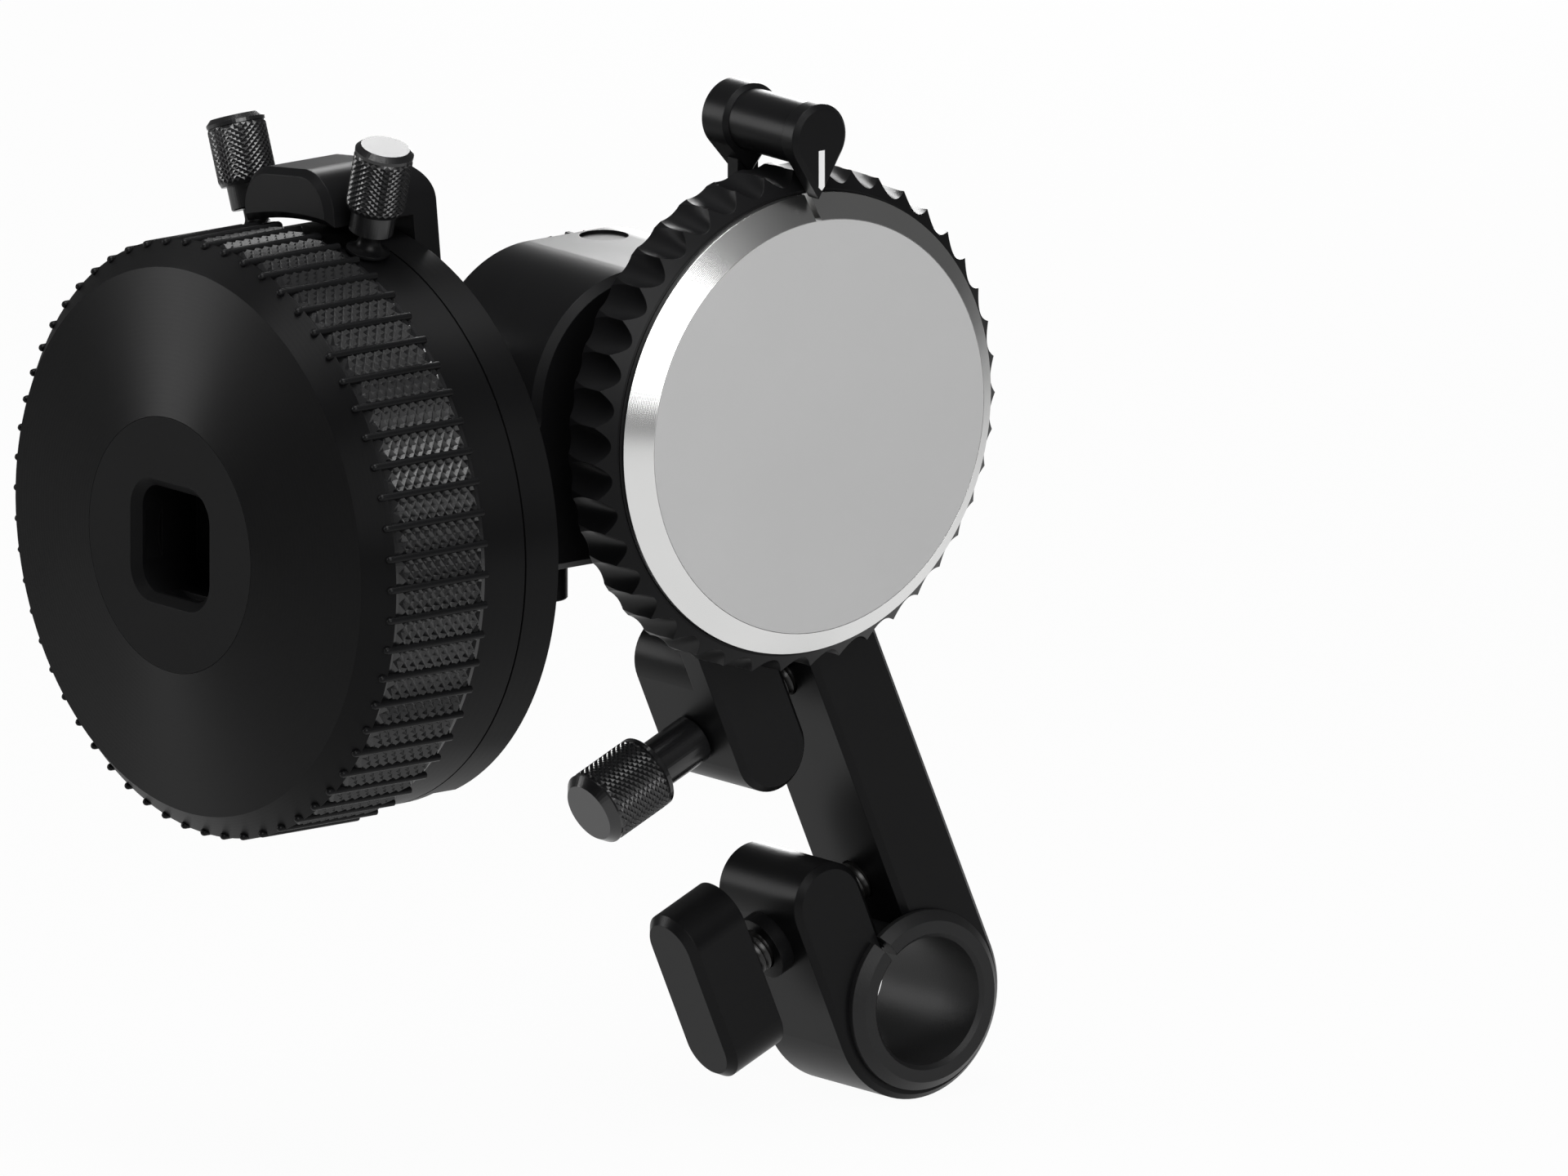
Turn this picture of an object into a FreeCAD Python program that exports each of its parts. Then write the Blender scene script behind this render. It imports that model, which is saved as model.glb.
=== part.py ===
import FreeCAD, Part
import math
import operator
import os
from types import SimpleNamespace

import Sketcher

# Follow focus unit. X runs along the hand wheel's axis (its face looks to -X), Y along the
# 15 mm rod and the dial's axis (the dial looks to -Y), Z is up. The origin is the centre of
# the rod bore. Every size is in millimetres and every angle in degrees.

SIZES = [
    # Rod clamp arm, in its own frame: "across" is square to the arm, "up" runs along it.
    ("rod_bore_r", 7.55, "bore radius for a 15 mm rod, with its clearance"),
    ("arm_tilt", 23.34, "lean of the arm towards the wheel"),
    ("arm_reach", 55.4, "rod bore to upper bore"),
    ("arm_depth", 14.6, "length of both bores"),
    ("arm_end_r", 11.9, "outer radius of both ends, and half the arm's width"),
    ("arm_slit", 4.0, "width of the clamping slits"),
    ("arm_edge", 0.7, "chamfer of the front edges"),
    ("slit_root", 5.0, "slit's inner end, from the bore's centre"),
    ("lower_jaw_len", 17.1, "lower jaw, bore centre to the centre of its round end"),
    ("upper_jaw_len", 17.1, "upper jaw, bore centre to the centre of its round end"),
    ("horn_drop", 6.7, "upper bore centre down to the centres of the rear horns"),
    ("ring_depth", 4.0, "depth of the ring in front of the horns"),
    ("bush_r", 8.6, "outer radius of the rod bush"),
    ("bush_flange_r", 10.6, "flange radius of the rod bush"),
    ("bush_flange_t", 1.8, "flange thickness of the rod bush"),
    ("bush_edge", 1.1, "flange chamfer of the rod bush"),
    ("bush_tail", 1.8, "bush behind the arm's rear face"),
    ("bush_lead", 0.5, "lead-in chamfer of the bush's bore"),
    ("bush_split", 1.0, "width of the bush's split"),
    ("bush_split_angle", 131.0, "place of the split, from +X towards +Z"),
    # Rod clamp screw with its wing knob.
    ("rod_screw_up", 13.7, "rod screw's axis above the rod bore"),
    ("rod_screw_r", 2.5, "M5 screw"),
    ("rod_screw_reach", 8.0, "screw's tip, across from the arm's centre line"),
    ("washer_r", 3.9, "washer under the wing knob"),
    ("washer_t", 1.8, "thickness of the washer"),
    ("wing_gap", 3.2, "bare thread between washer and knob"),
    ("wing_t", 8.2, "wing knob's thickness"),
    ("wing_w", 8.7, "wing knob's width"),
    ("wing_len", 22.0, "wing knob's length"),
    ("wing_edge", 0.9, "wing knob's chamfer"),
    ("wing_socket", 6.0, "depth of the screw's seat in the knob"),
    # Thumb screw of the upper clamp.
    ("thumb_down", 13.7, "thumb screw's axis below the upper bore"),
    ("thumb_shank_r", 2.5, "M5 thread of the thumb screw"),
    ("thumb_collar_r", 2.9, "thumb screw's collar, from its head to the jaw"),
    ("thumb_collar_len", 7.6, "length of that collar"),
    ("thumb_head_r", 4.5, "thumb screw's head"),
    ("thumb_head_t", 9.5, "length of the head"),
    ("thumb_edge", 0.9, "chamfer of the head"),
    ("thumb_reach", 8.0, "thumb screw's tip, across from the arm's centre line"),
    # Clamp stub under the gearbox.
    ("stub_r", 7.45, "stub that the upper clamp grips"),
    ("stub_rise", 6.0, "stub's centre to the gearbox's underside"),
    ("seat_screw_pitch", 5.0, "spacing of the stub's two screws"),
    ("seat_screw_y", 5.0, "place of the stub's screws along Y"),
    ("seat_screw_r", 1.25, "M2.5 screws in the stub"),
    ("seat_screw_in", 4.4, "depth of these screws in the stub"),
    # Gearbox housing.
    ("body_front", -3.0, "front face of the gearbox"),
    ("body_depth", 20.2, "depth of the gearbox"),
    ("body_tall", 34.0, "height of the gearbox"),
    ("body_left", 28.1, "dial axis to the left side"),
    ("body_right", 12.5, "dial axis to the right side"),
    ("body_round", 15.0, "radius of the top corners"),
    ("body_foot_round", 2.0, "radius of the bottom corner"),
    ("body_edge", 0.9, "chamfer of the front edges"),
    ("neck_len", 11.7, "neck from the left side to its end"),
    ("neck_tall", 16.6, "height of the neck"),
    ("neck_round", 2.0, "fillet where neck and side meet"),
    ("rim_t", 1.3, "rim round the rear cover"),
    ("wall_t", 3.3, "side walls of the gear chamber"),
    ("front_wall_t", 3.0, "front wall of the gear chamber"),
    ("cover_t", 2.0, "rear cover"),
    ("boss_r", 2.0, "bosses of the cover's screws"),
    ("boss_len", 7.4, "length of the bosses, from the rear cover"),
    ("boss_set", 0.2, "lower bosses, in from the walls and up from the floor"),
    ("boss_swing", 10.4, "upper bosses, from the centre of the corner"),
    ("cover_screw_in", 5.0, "depth of the cover's screws in their bosses"),
    ("cap_x", -4.5, "top cap, from the dial axis"),
    ("cap_y", 14.0, "top cap along Y"),
    ("cap_r", 2.8, "radius of the top cap"),
    ("cap_seat", 1.2, "depth of the cap's seat"),
    ("cap_recess", 0.36, "cap below the top face"),
    ("pin_x", -18.75, "release pin, from the dial axis"),
    ("pin_r", 2.7, "radius of the release pin"),
    ("pin_out", 5.7, "release pin below the base"),
    ("pin_collar_r", 3.5, "collar that keeps the pin in"),
    ("pin_collar_t", 0.5, "thickness of the collar"),
    ("pin_edge", 0.15, "chamfer of the pin"),
    # Shafts, bearings and gears.
    ("dial_x", -3.35, "dial axis, from the stub's centre"),
    ("shaft_r", 2.5, "wheel shaft and drive shaft"),
    ("lay_r", 1.5, "lay shaft"),
    ("bearing_r", 5.0, "outer radius of the ball bearings"),
    ("bearing_t", 3.0, "width of the ball bearings"),
    ("bearing_set", 0.2, "outer wheel bearing, in from the neck's end"),
    ("bearing_pitch", 10.9, "spacing of the wheel bearings"),
    ("bush_small_r", 2.8, "lay shaft's bushes"),
    ("bush_small_t", 1.5, "width of the lay shaft's bushes"),
    ("cover_boss_r", 7.0, "boss round the rear drive bearing"),
    ("spur_module", 0.5, "module of the inner spur gears"),
    ("spur_teeth", 17, "teeth of each inner spur gear"),
    ("spur_t", 2.2, "width of the inner spur gears"),
    ("spur_set", 0.4, "spur gears, from the chamber's front wall"),
    ("bevel_r", 4.0, "pitch radius of the bevel gears"),
    ("bevel_face", 1.8, "face of the bevel gears, along their axis"),
    ("bevel_gap", 0.1, "play between the bevel gears' pitch cones"),
    ("bevel_hub_r", 3.2, "hub of the bevel gears"),
    ("bevel_hub_t", 1.1, "length of the bevel gears' hubs"),
    ("bore_over", 0.5, "what a hole is cut past its wall or its screw's tip"),
    ("seat_over", 0.3, "what a shallow seat is cut past the piece in it"),
    ("bevel_slot", 0.9, "width of the tooth spaces"),
    ("bevel_floor", 2.9, "floor radius of the tooth spaces"),
    ("bevel_teeth", 12, "teeth of each bevel gear"),
    ("drive_module", 0.8, "module of the lens drive gear"),
    ("drive_teeth", 35, "teeth of the lens drive gear"),
    ("drive_t", 8.0, "width of the drive gear"),
    ("drive_off", 1.3, "drive gear behind the gearbox"),
    ("drive_shoulder_r", 3.4, "shoulder that the drive gear seats on"),
    ("shoulder_gap", 0.2, "gap between that shoulder and the gearbox"),
    ("gear_pressure", 20.0, "pressure angle of the spur gears"),
    ("gear_play", 0.08, "backlash of the spur gears"),
    ("drive_screw_r", 1.5, "M3 screw of the drive gear"),
    ("drive_screw_head_r", 4.0, "head of the drive gear's screw"),
    ("drive_screw_head_t", 1.5, "height of that head"),
    ("drive_screw_in", 8.0, "depth of that screw in the shaft"),
    # Hand wheel: places along its axis are counted from the hub's face.
    ("hub_r", 15.0, "hub plate"),
    ("hub_t", 2.5, "thickness of the hub plate"),
    ("hub_plug_r", 11.0, "plug behind the hub plate"),
    ("hub_plug_len", 12.0, "hub's face to the end of the plug"),
    ("socket_w", 12.7, "half inch square socket"),
    ("socket_round", 3.0, "corner radius of the socket"),
    ("socket_edge", 1.0, "chamfer of the socket's mouth"),
    ("socket_deep", 9.0, "depth of the socket"),
    ("groove_r", 7.0, "detent groove in the socket"),
    ("groove_from", 1.5, "start of the detent groove"),
    ("groove_w", 2.4, "width of the detent groove"),
    ("cone_drop", 2.7, "fall of the front cone"),
    ("wheel_r", 35.0, "rim of the wheel's face"),
    ("cone_in", 2.9, "outer edge of the shallow front cone, in from the rim"),
    ("face_t", 5.6, "hub's face to the back of the wheel's face piece"),
    ("grip_w", 13.65, "width of the grip"),
    ("grip_in", 0.5, "grip between its ribs, in from the rim"),
    ("rib_r", 0.45, "radius of the grip's ribs"),
    ("rib_rise", 0.15, "crest of the grip's ribs above the rim"),
    ("rib_count", 60, "ribs of the grip"),
    ("drum_in", 1.8, "drum under the grip, in from the rim"),
    ("drum_wall_t", 3.2, "wall of the drum"),
    ("web_t", 3.0, "web of the drum"),
    ("drum_boss_r", 6.0, "boss of the drum"),
    ("drum_boss_t", 3.0, "boss of the drum behind its web"),
    ("hub_screw_pcd", 9.2, "circle radius of the hub's screws"),
    ("hub_screw_in", 3.0, "depth of the hub's screws in the plug"),
    ("band_in", 1.0, "stop ring and rear flange, in from the rim"),
    ("band_w", 6.1, "width of the stop ring"),
    ("band_t", 3.0, "thickness of the stop ring"),
    ("band_gap", 0.25, "gap between stop ring and rear flange"),
    ("flange_w", 4.7, "width of the rear flange"),
    ("flange_floor_t", 2.0, "floor of the rear flange"),
    ("flange_wall_t", 3.5, "wall of the rear flange"),
    ("flange_boss_r", 9.5, "boss of the rear flange"),
    ("flange_boss_t", 0.4, "boss between flange and bracket"),
    ("flange_flat_in", 3.45, "depth of the flat under the flange"),
    ("flange_flat_w", 3.3, "width of that flat"),
    ("shaft_room", 0.4, "room round the shaft in the flange and the bracket"),
    ("neck_screw_pcd", 6.8, "circle radius of the screws in the neck"),
    ("neck_screw_in", 3.2, "depth of these screws in the neck"),
    # Stop bracket and the two stops.
    ("pod_tilt", 7.0, "lean of the bracket away from the dial's side"),
    ("pod_set", 2.75, "bracket's middle line, from the wheel's axis to the dial's side"),
    ("pod_w", 16.3, "width of the bracket"),
    ("pod_rise", 6.6, "top of the bracket above the wheel's rim"),
    ("pod_clear", 0.7, "middle of the hollow underside above the rim"),
    ("pod_hollow_r", 45.0, "radius of the hollow underside"),
    ("pod_keep", 5.0, "stock below the hollow before it is cut"),
    ("pod_front", 18.3, "bracket's front face, from the hub's face"),
    ("pod_round", 5.0, "top corners of the bracket"),
    ("pod_edge", 0.8, "chamfer of the bracket's front"),
    ("pod_back_round", 5.5, "rounding of the bracket's rear edge"),
    ("plate_t", 3.5, "bracket's plate on the neck"),
    ("plate_end_r", 9.0, "round lower end of the plate"),
    ("plate_bend", 14.0, "where the plate starts to taper, above the wheel's axis"),
    ("stop_a_angle", 19.8, "stop A from the top, away from the dial's side"),
    ("stop_b_angle", 14.5, "stop B from the top, towards the dial's side"),
    ("stop_lift", 0.3, "stop's foot above the stop ring"),
    ("stop_foot_r", 2.55, "radius of the stop's foot"),
    ("stop_foot_t", 0.35, "straight edge of the foot"),
    ("stop_flare", 1.25, "radius of the foot's flare"),
    ("stop_waist_len", 0.9, "straight waist above the flare"),
    ("stop_stem_r", 1.1, "stem inside the knob"),
    ("stop_collar_r", 2.6, "plain collar of the knob"),
    ("stop_collar_t", 2.9, "height of the collar"),
    ("stop_head_r", 3.45, "knurled head of the knob"),
    ("stop_head_t", 7.95, "height of the head"),
    ("stop_edge", 0.6, "chamfer of the head"),
    ("stop_bore_len", 8.0, "depth of the stem's bore in the knob"),
    # Marking dial.
    ("dial_back", -11.0, "back of the grip ring"),
    ("dial_front", -15.7, "front of the grip ring"),
    ("dial_crest_r", 29.6, "crests of the grip ring"),
    ("dial_turn", 4.5, "flutes turned from the top"),
    ("dial_lip_r", 27.47, "inner edge of the grip ring's coned front"),
    ("dial_cone", 1.6, "rise of the coned front, from the crests to that edge"),
    ("flute_y", -20.4, "tip of the conical cutter of the flutes"),
    ("flute_z", 27.26, "that tip, from the dial's axis"),
    ("flute_tilt", 36.7, "tilt of the cutter's axis"),
    ("flute_half_angle", 24.7, "half the angle of the cutter's cone"),
    ("flute_len", 10.0, "length of the cutter"),
    ("dial_scallops", 43, "flutes of the grip ring"),
    ("dial_in_r", 24.0, "seat of the grip ring on the hub"),
    ("bevel_ring_r", 27.1, "outer radius of the bevel ring"),
    ("bevel_ring_side", 2.4, "straight side of the bevel ring"),
    ("bevel_ring_rise", 2.2, "height of the bevel"),
    ("plate_r", 24.3, "marking plate"),
    ("plate_seat_r", 20.0, "hub's nose under the marking plate"),
    ("marking_t", 1.45, "thickness of the marking plate"),
    ("notch_w", 0.8, "index notch in the bevel ring"),
    ("notch_deep", 2.8, "depth of the index notch"),
    ("dial_boss_r", 6.0, "boss of the dial's hub"),
    ("dial_boss_t", 3.0, "length of that boss"),
    ("dial_shaft_in", 2.5, "drive shaft's end, in from the hub's rear face"),
    # Pointer.
    ("pointer_up", 34.2, "pointer's axis above the dial's axis"),
    ("lobe_r", 4.2, "bracket's lobe behind the pointer"),
    ("lobe_tip", 6.4, "post's axis to the tip of the lobe's outline"),
    ("lobe_front", -8.1, "front face of the lobe"),
    ("lobe_back", -3.8, "rear face of the lobe"),
    ("lobe_edge", 0.5, "chamfer of the lobe's front"),
    ("stay_w", 3.0, "width of the stay below the lobe"),
    ("stay_front", -7.1, "front face of the stay"),
    ("stay_back", -5.2, "rear face of the stay"),
    ("anchor_t", 4.1, "thickness of the bracket's ring"),
    ("anchor_r", 9.5, "bracket's ring round the drive shaft"),
    ("anchor_hole_r", 5.5, "hole of that ring"),
    ("anchor_screw_x", 7.5, "screws of the bracket, from the dial's axis"),
    ("anchor_screw_in", 2.4, "depth of these screws in the front wall"),
    ("anchor_sink", 1.6, "countersink of the bracket's screws"),
    ("post_r", 3.65, "pointer's post"),
    ("pointer_face", -20.8, "front face of the pointer"),
    ("pointer_t", 2.45, "thickness of the pointer"),
    ("pointer_r", 3.96, "radius of the pointer's head"),
    ("pointer_tip", 7.3, "pointer's axis to the tip of its outline"),
    ("pointer_edge", 0.56, "chamfer of the pointer"),
    ("line_w", 0.88, "width of the inlaid line"),
    ("line_from", 1.44, "start of the inlaid line, below the axis"),
    ("line_to", 6.2, "end of the inlaid line, below the axis"),
    ("line_t", 0.3, "depth of the inlaid line"),
    # Fits and small screws.
    ("seat_fit", 0.02, "radial play of pieces that are fixed to each other"),
    ("run_fit", 0.05, "radial play of pieces that turn or slide in each other"),
    ("m2_r", 1.0, "M2 screws"),
    ("m2_head_r", 1.8, "head of the M2 screws"),
    ("m2_head_t", 1.2, "height of that head"),
    ("hex_share", 0.52, "hexagon socket's corner radius as a share of the head's"),
    ("hex_deep_share", 0.6, "hexagon socket's depth as a share of the head's height"),
]

doc = FreeCAD.newDocument("FollowFocus")
sheet = doc.addObject("Spreadsheet::Sheet", "Sizes")
parts = []
V = FreeCAD.Vector


class Term:
    """A size that carries its value and the sheet expression it comes from."""

    def __init__(self, value, text):
        self.value = value
        self.text = text

    def __add__(self, other):
        return combined(self, "+", other)

    def __radd__(self, other):
        return combined(other, "+", self)

    def __sub__(self, other):
        return combined(self, "-", other)

    def __rsub__(self, other):
        return combined(other, "-", self)

    def __mul__(self, other):
        return combined(self, "*", other)

    def __rmul__(self, other):
        return combined(other, "*", self)

    def __truediv__(self, other):
        return combined(self, "/", other)

    def __neg__(self):
        return combined(0.0, "-", self)


OPERATIONS = {"+": operator.add, "-": operator.sub, "*": operator.mul, "/": operator.truediv}


def value_of(size):
    return size.value if isinstance(size, Term) else float(size)


def text_of(size):
    return size.text if isinstance(size, Term) else repr(float(size))


def combined(left, sign, right):
    value = OPERATIONS[sign](value_of(left), value_of(right))
    return Term(value, "(%s %s %s)" % (text_of(left), sign, text_of(right)))


def sine(angle):
    return Term(math.sin(math.radians(value_of(angle))), "sin(%s)" % text_of(angle))


def cosine(angle):
    return Term(math.cos(math.radians(value_of(angle))), "cos(%s)" % text_of(angle))


def root(size):
    return Term(math.sqrt(value_of(size)), "sqrt(%s)" % text_of(size))


def fill_sheet():
    """Write every size into the sheet and return them by name."""
    named = {}
    for row, (alias, value, meaning) in enumerate(SIZES, start=1):
        sheet.set("A%d" % row, alias)
        sheet.set("B%d" % row, str(value))
        sheet.set("C%d" % row, meaning)
        sheet.setAlias("B%d" % row, alias)
        named[alias] = Term(float(value), "Sizes.%s" % alias)
    doc.recompute()
    return SimpleNamespace(**named)


def bind(item, path, size):
    """Bind one property of an object to a size."""
    if isinstance(size, Term):
        item.setExpression(path, size.text)
    else:
        item.setExpression(path, repr(float(size)))


def place(item, x=0.0, y=0.0, z=0.0, axis=None, angle=0.0):
    """Give an object its place, with an optional turn about one axis."""
    turn = FreeCAD.Rotation(axis or V(0, 0, 1), value_of(angle))
    item.Placement = FreeCAD.Placement(V(value_of(x), value_of(y), value_of(z)), turn)
    bind(item, "Placement.Base.x", x)
    bind(item, "Placement.Base.y", y)
    bind(item, "Placement.Base.z", z)
    if isinstance(angle, Term):
        item.setExpression("Placement.Rotation.Angle", angle.text)
    return item


def new_body(label, **where):
    """Start a PartDesign body for one sub-part."""
    body = doc.addObject("PartDesign::Body", label)
    body.Label = label
    place(body, **where)
    parts.append(body)
    return body


def origin_feature(body, role):
    for feature in body.Origin.OriginFeatures:
        if feature.Role == role:
            return feature
    raise ValueError(role)


def sketch_on(body, role, lift=0.0, right=0.0, up=0.0, turn=None):
    """Sketch on an origin plane of the body, lifted along the plane's normal."""
    sketch = body.newObject("Sketcher::SketchObject", "Sketch")
    sketch.AttachmentSupport = [(origin_feature(body, role), "")]
    sketch.MapMode = "FlatFace"
    if turn is not None:
        rotation = FreeCAD.Rotation(V(0, 0, 1), value_of(turn))
        sketch.AttachmentOffset = FreeCAD.Placement(V(0, 0, 0), rotation)
        bind(sketch, "AttachmentOffset.Rotation.Angle", turn)
    bind(sketch, "AttachmentOffset.Base.x", right)
    bind(sketch, "AttachmentOffset.Base.y", up)
    bind(sketch, "AttachmentOffset.Base.z", lift)
    return sketch


def fix(sketch, kind, item, point, size):
    """Hold one coordinate of a point at its distance from the sketch's origin."""
    rule = Sketcher.Constraint(kind, -1, 1, item, point, value_of(size))
    index = sketch.addConstraint(rule)
    if isinstance(size, Term):
        sketch.setExpression("Constraints[%d]" % index, size.text)


def arc_to(centre, end, left=True):
    """A step of an outline: an arc about a centre, turning left or right."""
    return {"centre": centre, "end": end, "left": left}


def flat(point):
    return V(value_of(point[0]), value_of(point[1]), 0)


def angle_of(point, centre):
    return math.atan2(point.y - centre.y, point.x - centre.x)


def outline(sketch, start, *steps):
    """Closed outline of lines and arcs, every corner held by its coordinates."""
    corners = [start] + [step["end"] if isinstance(step, dict) else step for step in steps]
    steps = list(steps)
    if flat(corners[-1]).distanceToPoint(flat(start)) > 1e-6:
        steps.append(start)
    else:
        corners.pop()
    count = len(steps)
    heads = []
    tails = []
    for index, step in enumerate(steps):
        begin = flat(corners[index])
        finish = flat(corners[(index + 1) % len(corners)])
        if isinstance(step, dict):
            centre = flat(step["centre"])
            circle = Part.Circle(centre, V(0, 0, 1), begin.distanceToPoint(centre))
            first, last = (begin, finish) if step["left"] else (finish, begin)
            from_angle = angle_of(first, centre)
            to_angle = angle_of(last, centre)
            if to_angle <= from_angle:
                to_angle += 2 * math.pi
            item = sketch.addGeometry(Part.ArcOfCircle(circle, from_angle, to_angle), False)
            heads.append((item, 1 if step["left"] else 2))
            tails.append((item, 2 if step["left"] else 1))
        else:
            item = sketch.addGeometry(Part.LineSegment(begin, finish), False)
            heads.append((item, 1))
            tails.append((item, 2))
    for index in range(count):
        after = (index + 1) % count
        sketch.addConstraint(Sketcher.Constraint("Coincident", *tails[index], *heads[after]))
    for index, step in enumerate(steps):
        item, point = heads[index]
        before = steps[index - 1]
        free_x = free_y = True
        if isinstance(before, dict):
            reach = flat(corners[index]) - flat(before["centre"])
            free_x = abs(reach.y) > abs(reach.x)
            free_y = not free_x
        if free_x:
            fix(sketch, "DistanceX", item, point, corners[index][0])
        if free_y:
            fix(sketch, "DistanceY", item, point, corners[index][1])
        if isinstance(step, dict):
            fix(sketch, "DistanceX", item, 3, step["centre"][0])
            fix(sketch, "DistanceY", item, 3, step["centre"][1])
    return sketch


def circle(sketch, x, y, radius):
    """Circle held by its centre and radius."""
    shape = Part.Circle(flat((x, y)), V(0, 0, 1), value_of(radius))
    item = sketch.addGeometry(shape, False)
    fix(sketch, "DistanceX", item, 3, x)
    fix(sketch, "DistanceY", item, 3, y)
    index = sketch.addConstraint(Sketcher.Constraint("Radius", item, value_of(radius)))
    if isinstance(radius, Term):
        sketch.setExpression("Constraints[%d]" % index, radius.text)
    return sketch


def pad(body, sketch, length, back=False, both=False):
    """Pad along the sketch's normal, or back against it, or half to each side."""
    feature = body.newObject("PartDesign::Pad", "Pad")
    feature.Profile = sketch
    feature.SideType = "Symmetric" if both else "One side"
    feature.Reversed = back
    bind(feature, "Length", length)
    sketch.Visibility = False
    return feature


def pocket(body, sketch, length=None, back=False, both=False):
    """Cut against the sketch's normal, or along it with back, or through all."""
    feature = body.newObject("PartDesign::Pocket", "Pocket")
    feature.Profile = sketch
    feature.SideType = "Symmetric" if both else "One side"
    feature.Reversed = back
    if length is None:
        feature.Type = "ThroughAll"
    else:
        bind(feature, "Length", length)
    return feature


def turned(body, role, axis, points, cut=False, **shift):
    """Turn a profile of points, and arc steps, about the sketch's own axis."""
    sketch = outline(sketch_on(body, role, **shift), *points)
    kind = "PartDesign::Groove" if cut else "PartDesign::Revolution"
    feature = body.newObject(kind, "Turn")
    feature.Profile = sketch
    feature.ReferenceAxis = (sketch, [axis])
    feature.Angle = 360
    return feature


def ring_of(body, feature, role, count):
    """Repeat a feature round an axis of the body."""
    pattern = body.newObject("PartDesign::PolarPattern", "Ring")
    pattern.Originals = [feature]
    pattern.Axis = (origin_feature(body, role), [""])
    pattern.Angle = 360
    bind(pattern, "Occurrences", count)
    body.Tip = pattern
    return pattern


def edges_at(feature, axis, size, keep=None):
    """Names of a feature's edges that lie in one plane, with an optional filter."""
    doc.recompute()
    level = value_of(size)
    found = []
    for number, edge in enumerate(feature.Shape.Edges, start=1):
        box = edge.BoundBox
        low, high = getattr(box, axis + "Min"), getattr(box, axis + "Max")
        if abs(low - level) < 1e-4 and abs(high - level) < 1e-4 and (keep is None or keep(edge)):
            found.append("Edge%d" % number)
    return found


def dress(body, kind, base, edges, size):
    """Chamfer or fillet named edges of the last feature."""
    feature = body.newObject("PartDesign::" + kind, kind)
    feature.Base = (base, edges)
    bind(feature, "Size" if kind == "Chamfer" else "Radius", size)
    return feature


DIRECTIONS = {
    "+x": (V(0, 1, 0), 90.0, V(1, 0, 0)),
    "-y": (V(1, 0, 0), 90.0, V(0, -1, 0)),
    "+y": (V(1, 0, 0), -90.0, V(0, 1, 0)),
    "+z": (V(0, 0, 1), 0.0, V(0, 0, 1)),
    "-z": (V(1, 0, 0), 180.0, V(0, 0, -1)),
    "-x": (V(0, 1, 0), -90.0, V(-1, 0, 0)),
}


def rod(radius, length, base, way):
    """Plain cylinder from a base point in one of the six directions."""
    axis, angle, _ = DIRECTIONS[way]
    item = doc.addObject("Part::Cylinder", "Rod")
    bind(item, "Radius", radius)
    bind(item, "Height", length)
    place(item, *base, axis=axis, angle=angle)
    return item


def moved(base, way, distance):
    """Point at a distance from a base point in one of the six directions."""
    step = DIRECTIONS[way][2]
    return tuple(start + distance * part if part else start for start, part in zip(base, step))


def joined(kind, base, tool, label=None):
    """Boolean of two objects; with a label the result is a sub-part."""
    item = doc.addObject("Part::" + kind, label or kind)
    item.Base = base
    item.Tool = tool
    if label:
        named(item, label)
    return item


def named(item, label):
    item.Label = label
    parts.append(item)
    return item


def group(items, label):
    """Separate solids that share one node."""
    item = doc.addObject("Part::Compound", label)
    item.Links = items
    return named(item, label)


def socket_screw(seat, way, head_r, head_t, shank_r, shank_len):
    """Screw whose head stands on a seat; "way" points from its head to its tip."""
    back = {"+": "-", "-": "+"}[way[0]] + way[1]
    head = rod(head_r, head_t, seat, back)
    shank = rod(shank_r, shank_len, seat, way)
    hexagon = doc.addObject("Part::Prism", "Hexagon")
    hexagon.Polygon = 6
    bind(hexagon, "Circumradius", head_r * d.hex_share)
    bind(hexagon, "Height", head_t * d.hex_deep_share)
    axis, angle, _ = DIRECTIONS[way]
    place(hexagon, *moved(seat, back, head_t), axis=axis, angle=angle)
    return joined("Cut", joined("Fuse", head, shank), hexagon)


def tube(outer, bore, length, base, way):
    """Plain ring, such as a bearing or a bush."""
    return joined("Cut", rod(outer, length, base, way), rod(bore, length, base, way))


d = fill_sheet()

# Radii and heights that follow the wheel's rim.
d.cone_r = d.wheel_r - d.cone_in
d.grip_r = d.wheel_r - d.grip_in
d.rib_crest_r = d.wheel_r + d.rib_rise
d.drum_r = d.wheel_r - d.drum_in
d.band_r = d.wheel_r - d.band_in
d.band_in_r = d.band_r - d.band_t
d.flange_flat = d.band_r - d.flange_flat_in
d.pod_top = d.wheel_r + d.pod_rise
d.pod_under = d.wheel_r + d.pod_clear

# Places that follow from the sizes.
stub_x = -(d.arm_reach * sine(d.arm_tilt))
stub_z = d.arm_reach * cosine(d.arm_tilt)
axis_x = stub_x + d.dial_x
base_z = stub_z + d.stub_rise
top_z = base_z + d.body_tall
wheel_y = d.body_front + d.body_depth / 2
wheel_z = base_z + d.neck_tall / 2
dial_z = wheel_z + d.spur_module * d.spur_teeth
body_back = d.body_front + d.body_depth
left_x = axis_x - d.body_left
right_x = axis_x + d.body_right
neck_x = left_x - d.neck_len
chamber_front = d.body_front + d.front_wall_t
cover_front = body_back - d.cover_t
grip_end = d.face_t + d.grip_w
band_end = grip_end + d.band_w
flange_front = band_end + d.band_gap
flange_back = flange_front + d.flange_w
bracket_back = flange_back + d.flange_boss_t + d.plate_t
hub_x = neck_x - bracket_back
pointer_z = dial_z + d.pointer_up
jaw_mid = (d.arm_end_r + d.arm_slit / 2) / 2
drive_from = body_back + d.drive_off
wheel_place = {"x": hub_x, "y": wheel_y, "z": wheel_z}
dial_place = {"x": axis_x, "z": dial_z}
arm_place = {"axis": V(0, 1, 0), "angle": -d.arm_tilt}
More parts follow.
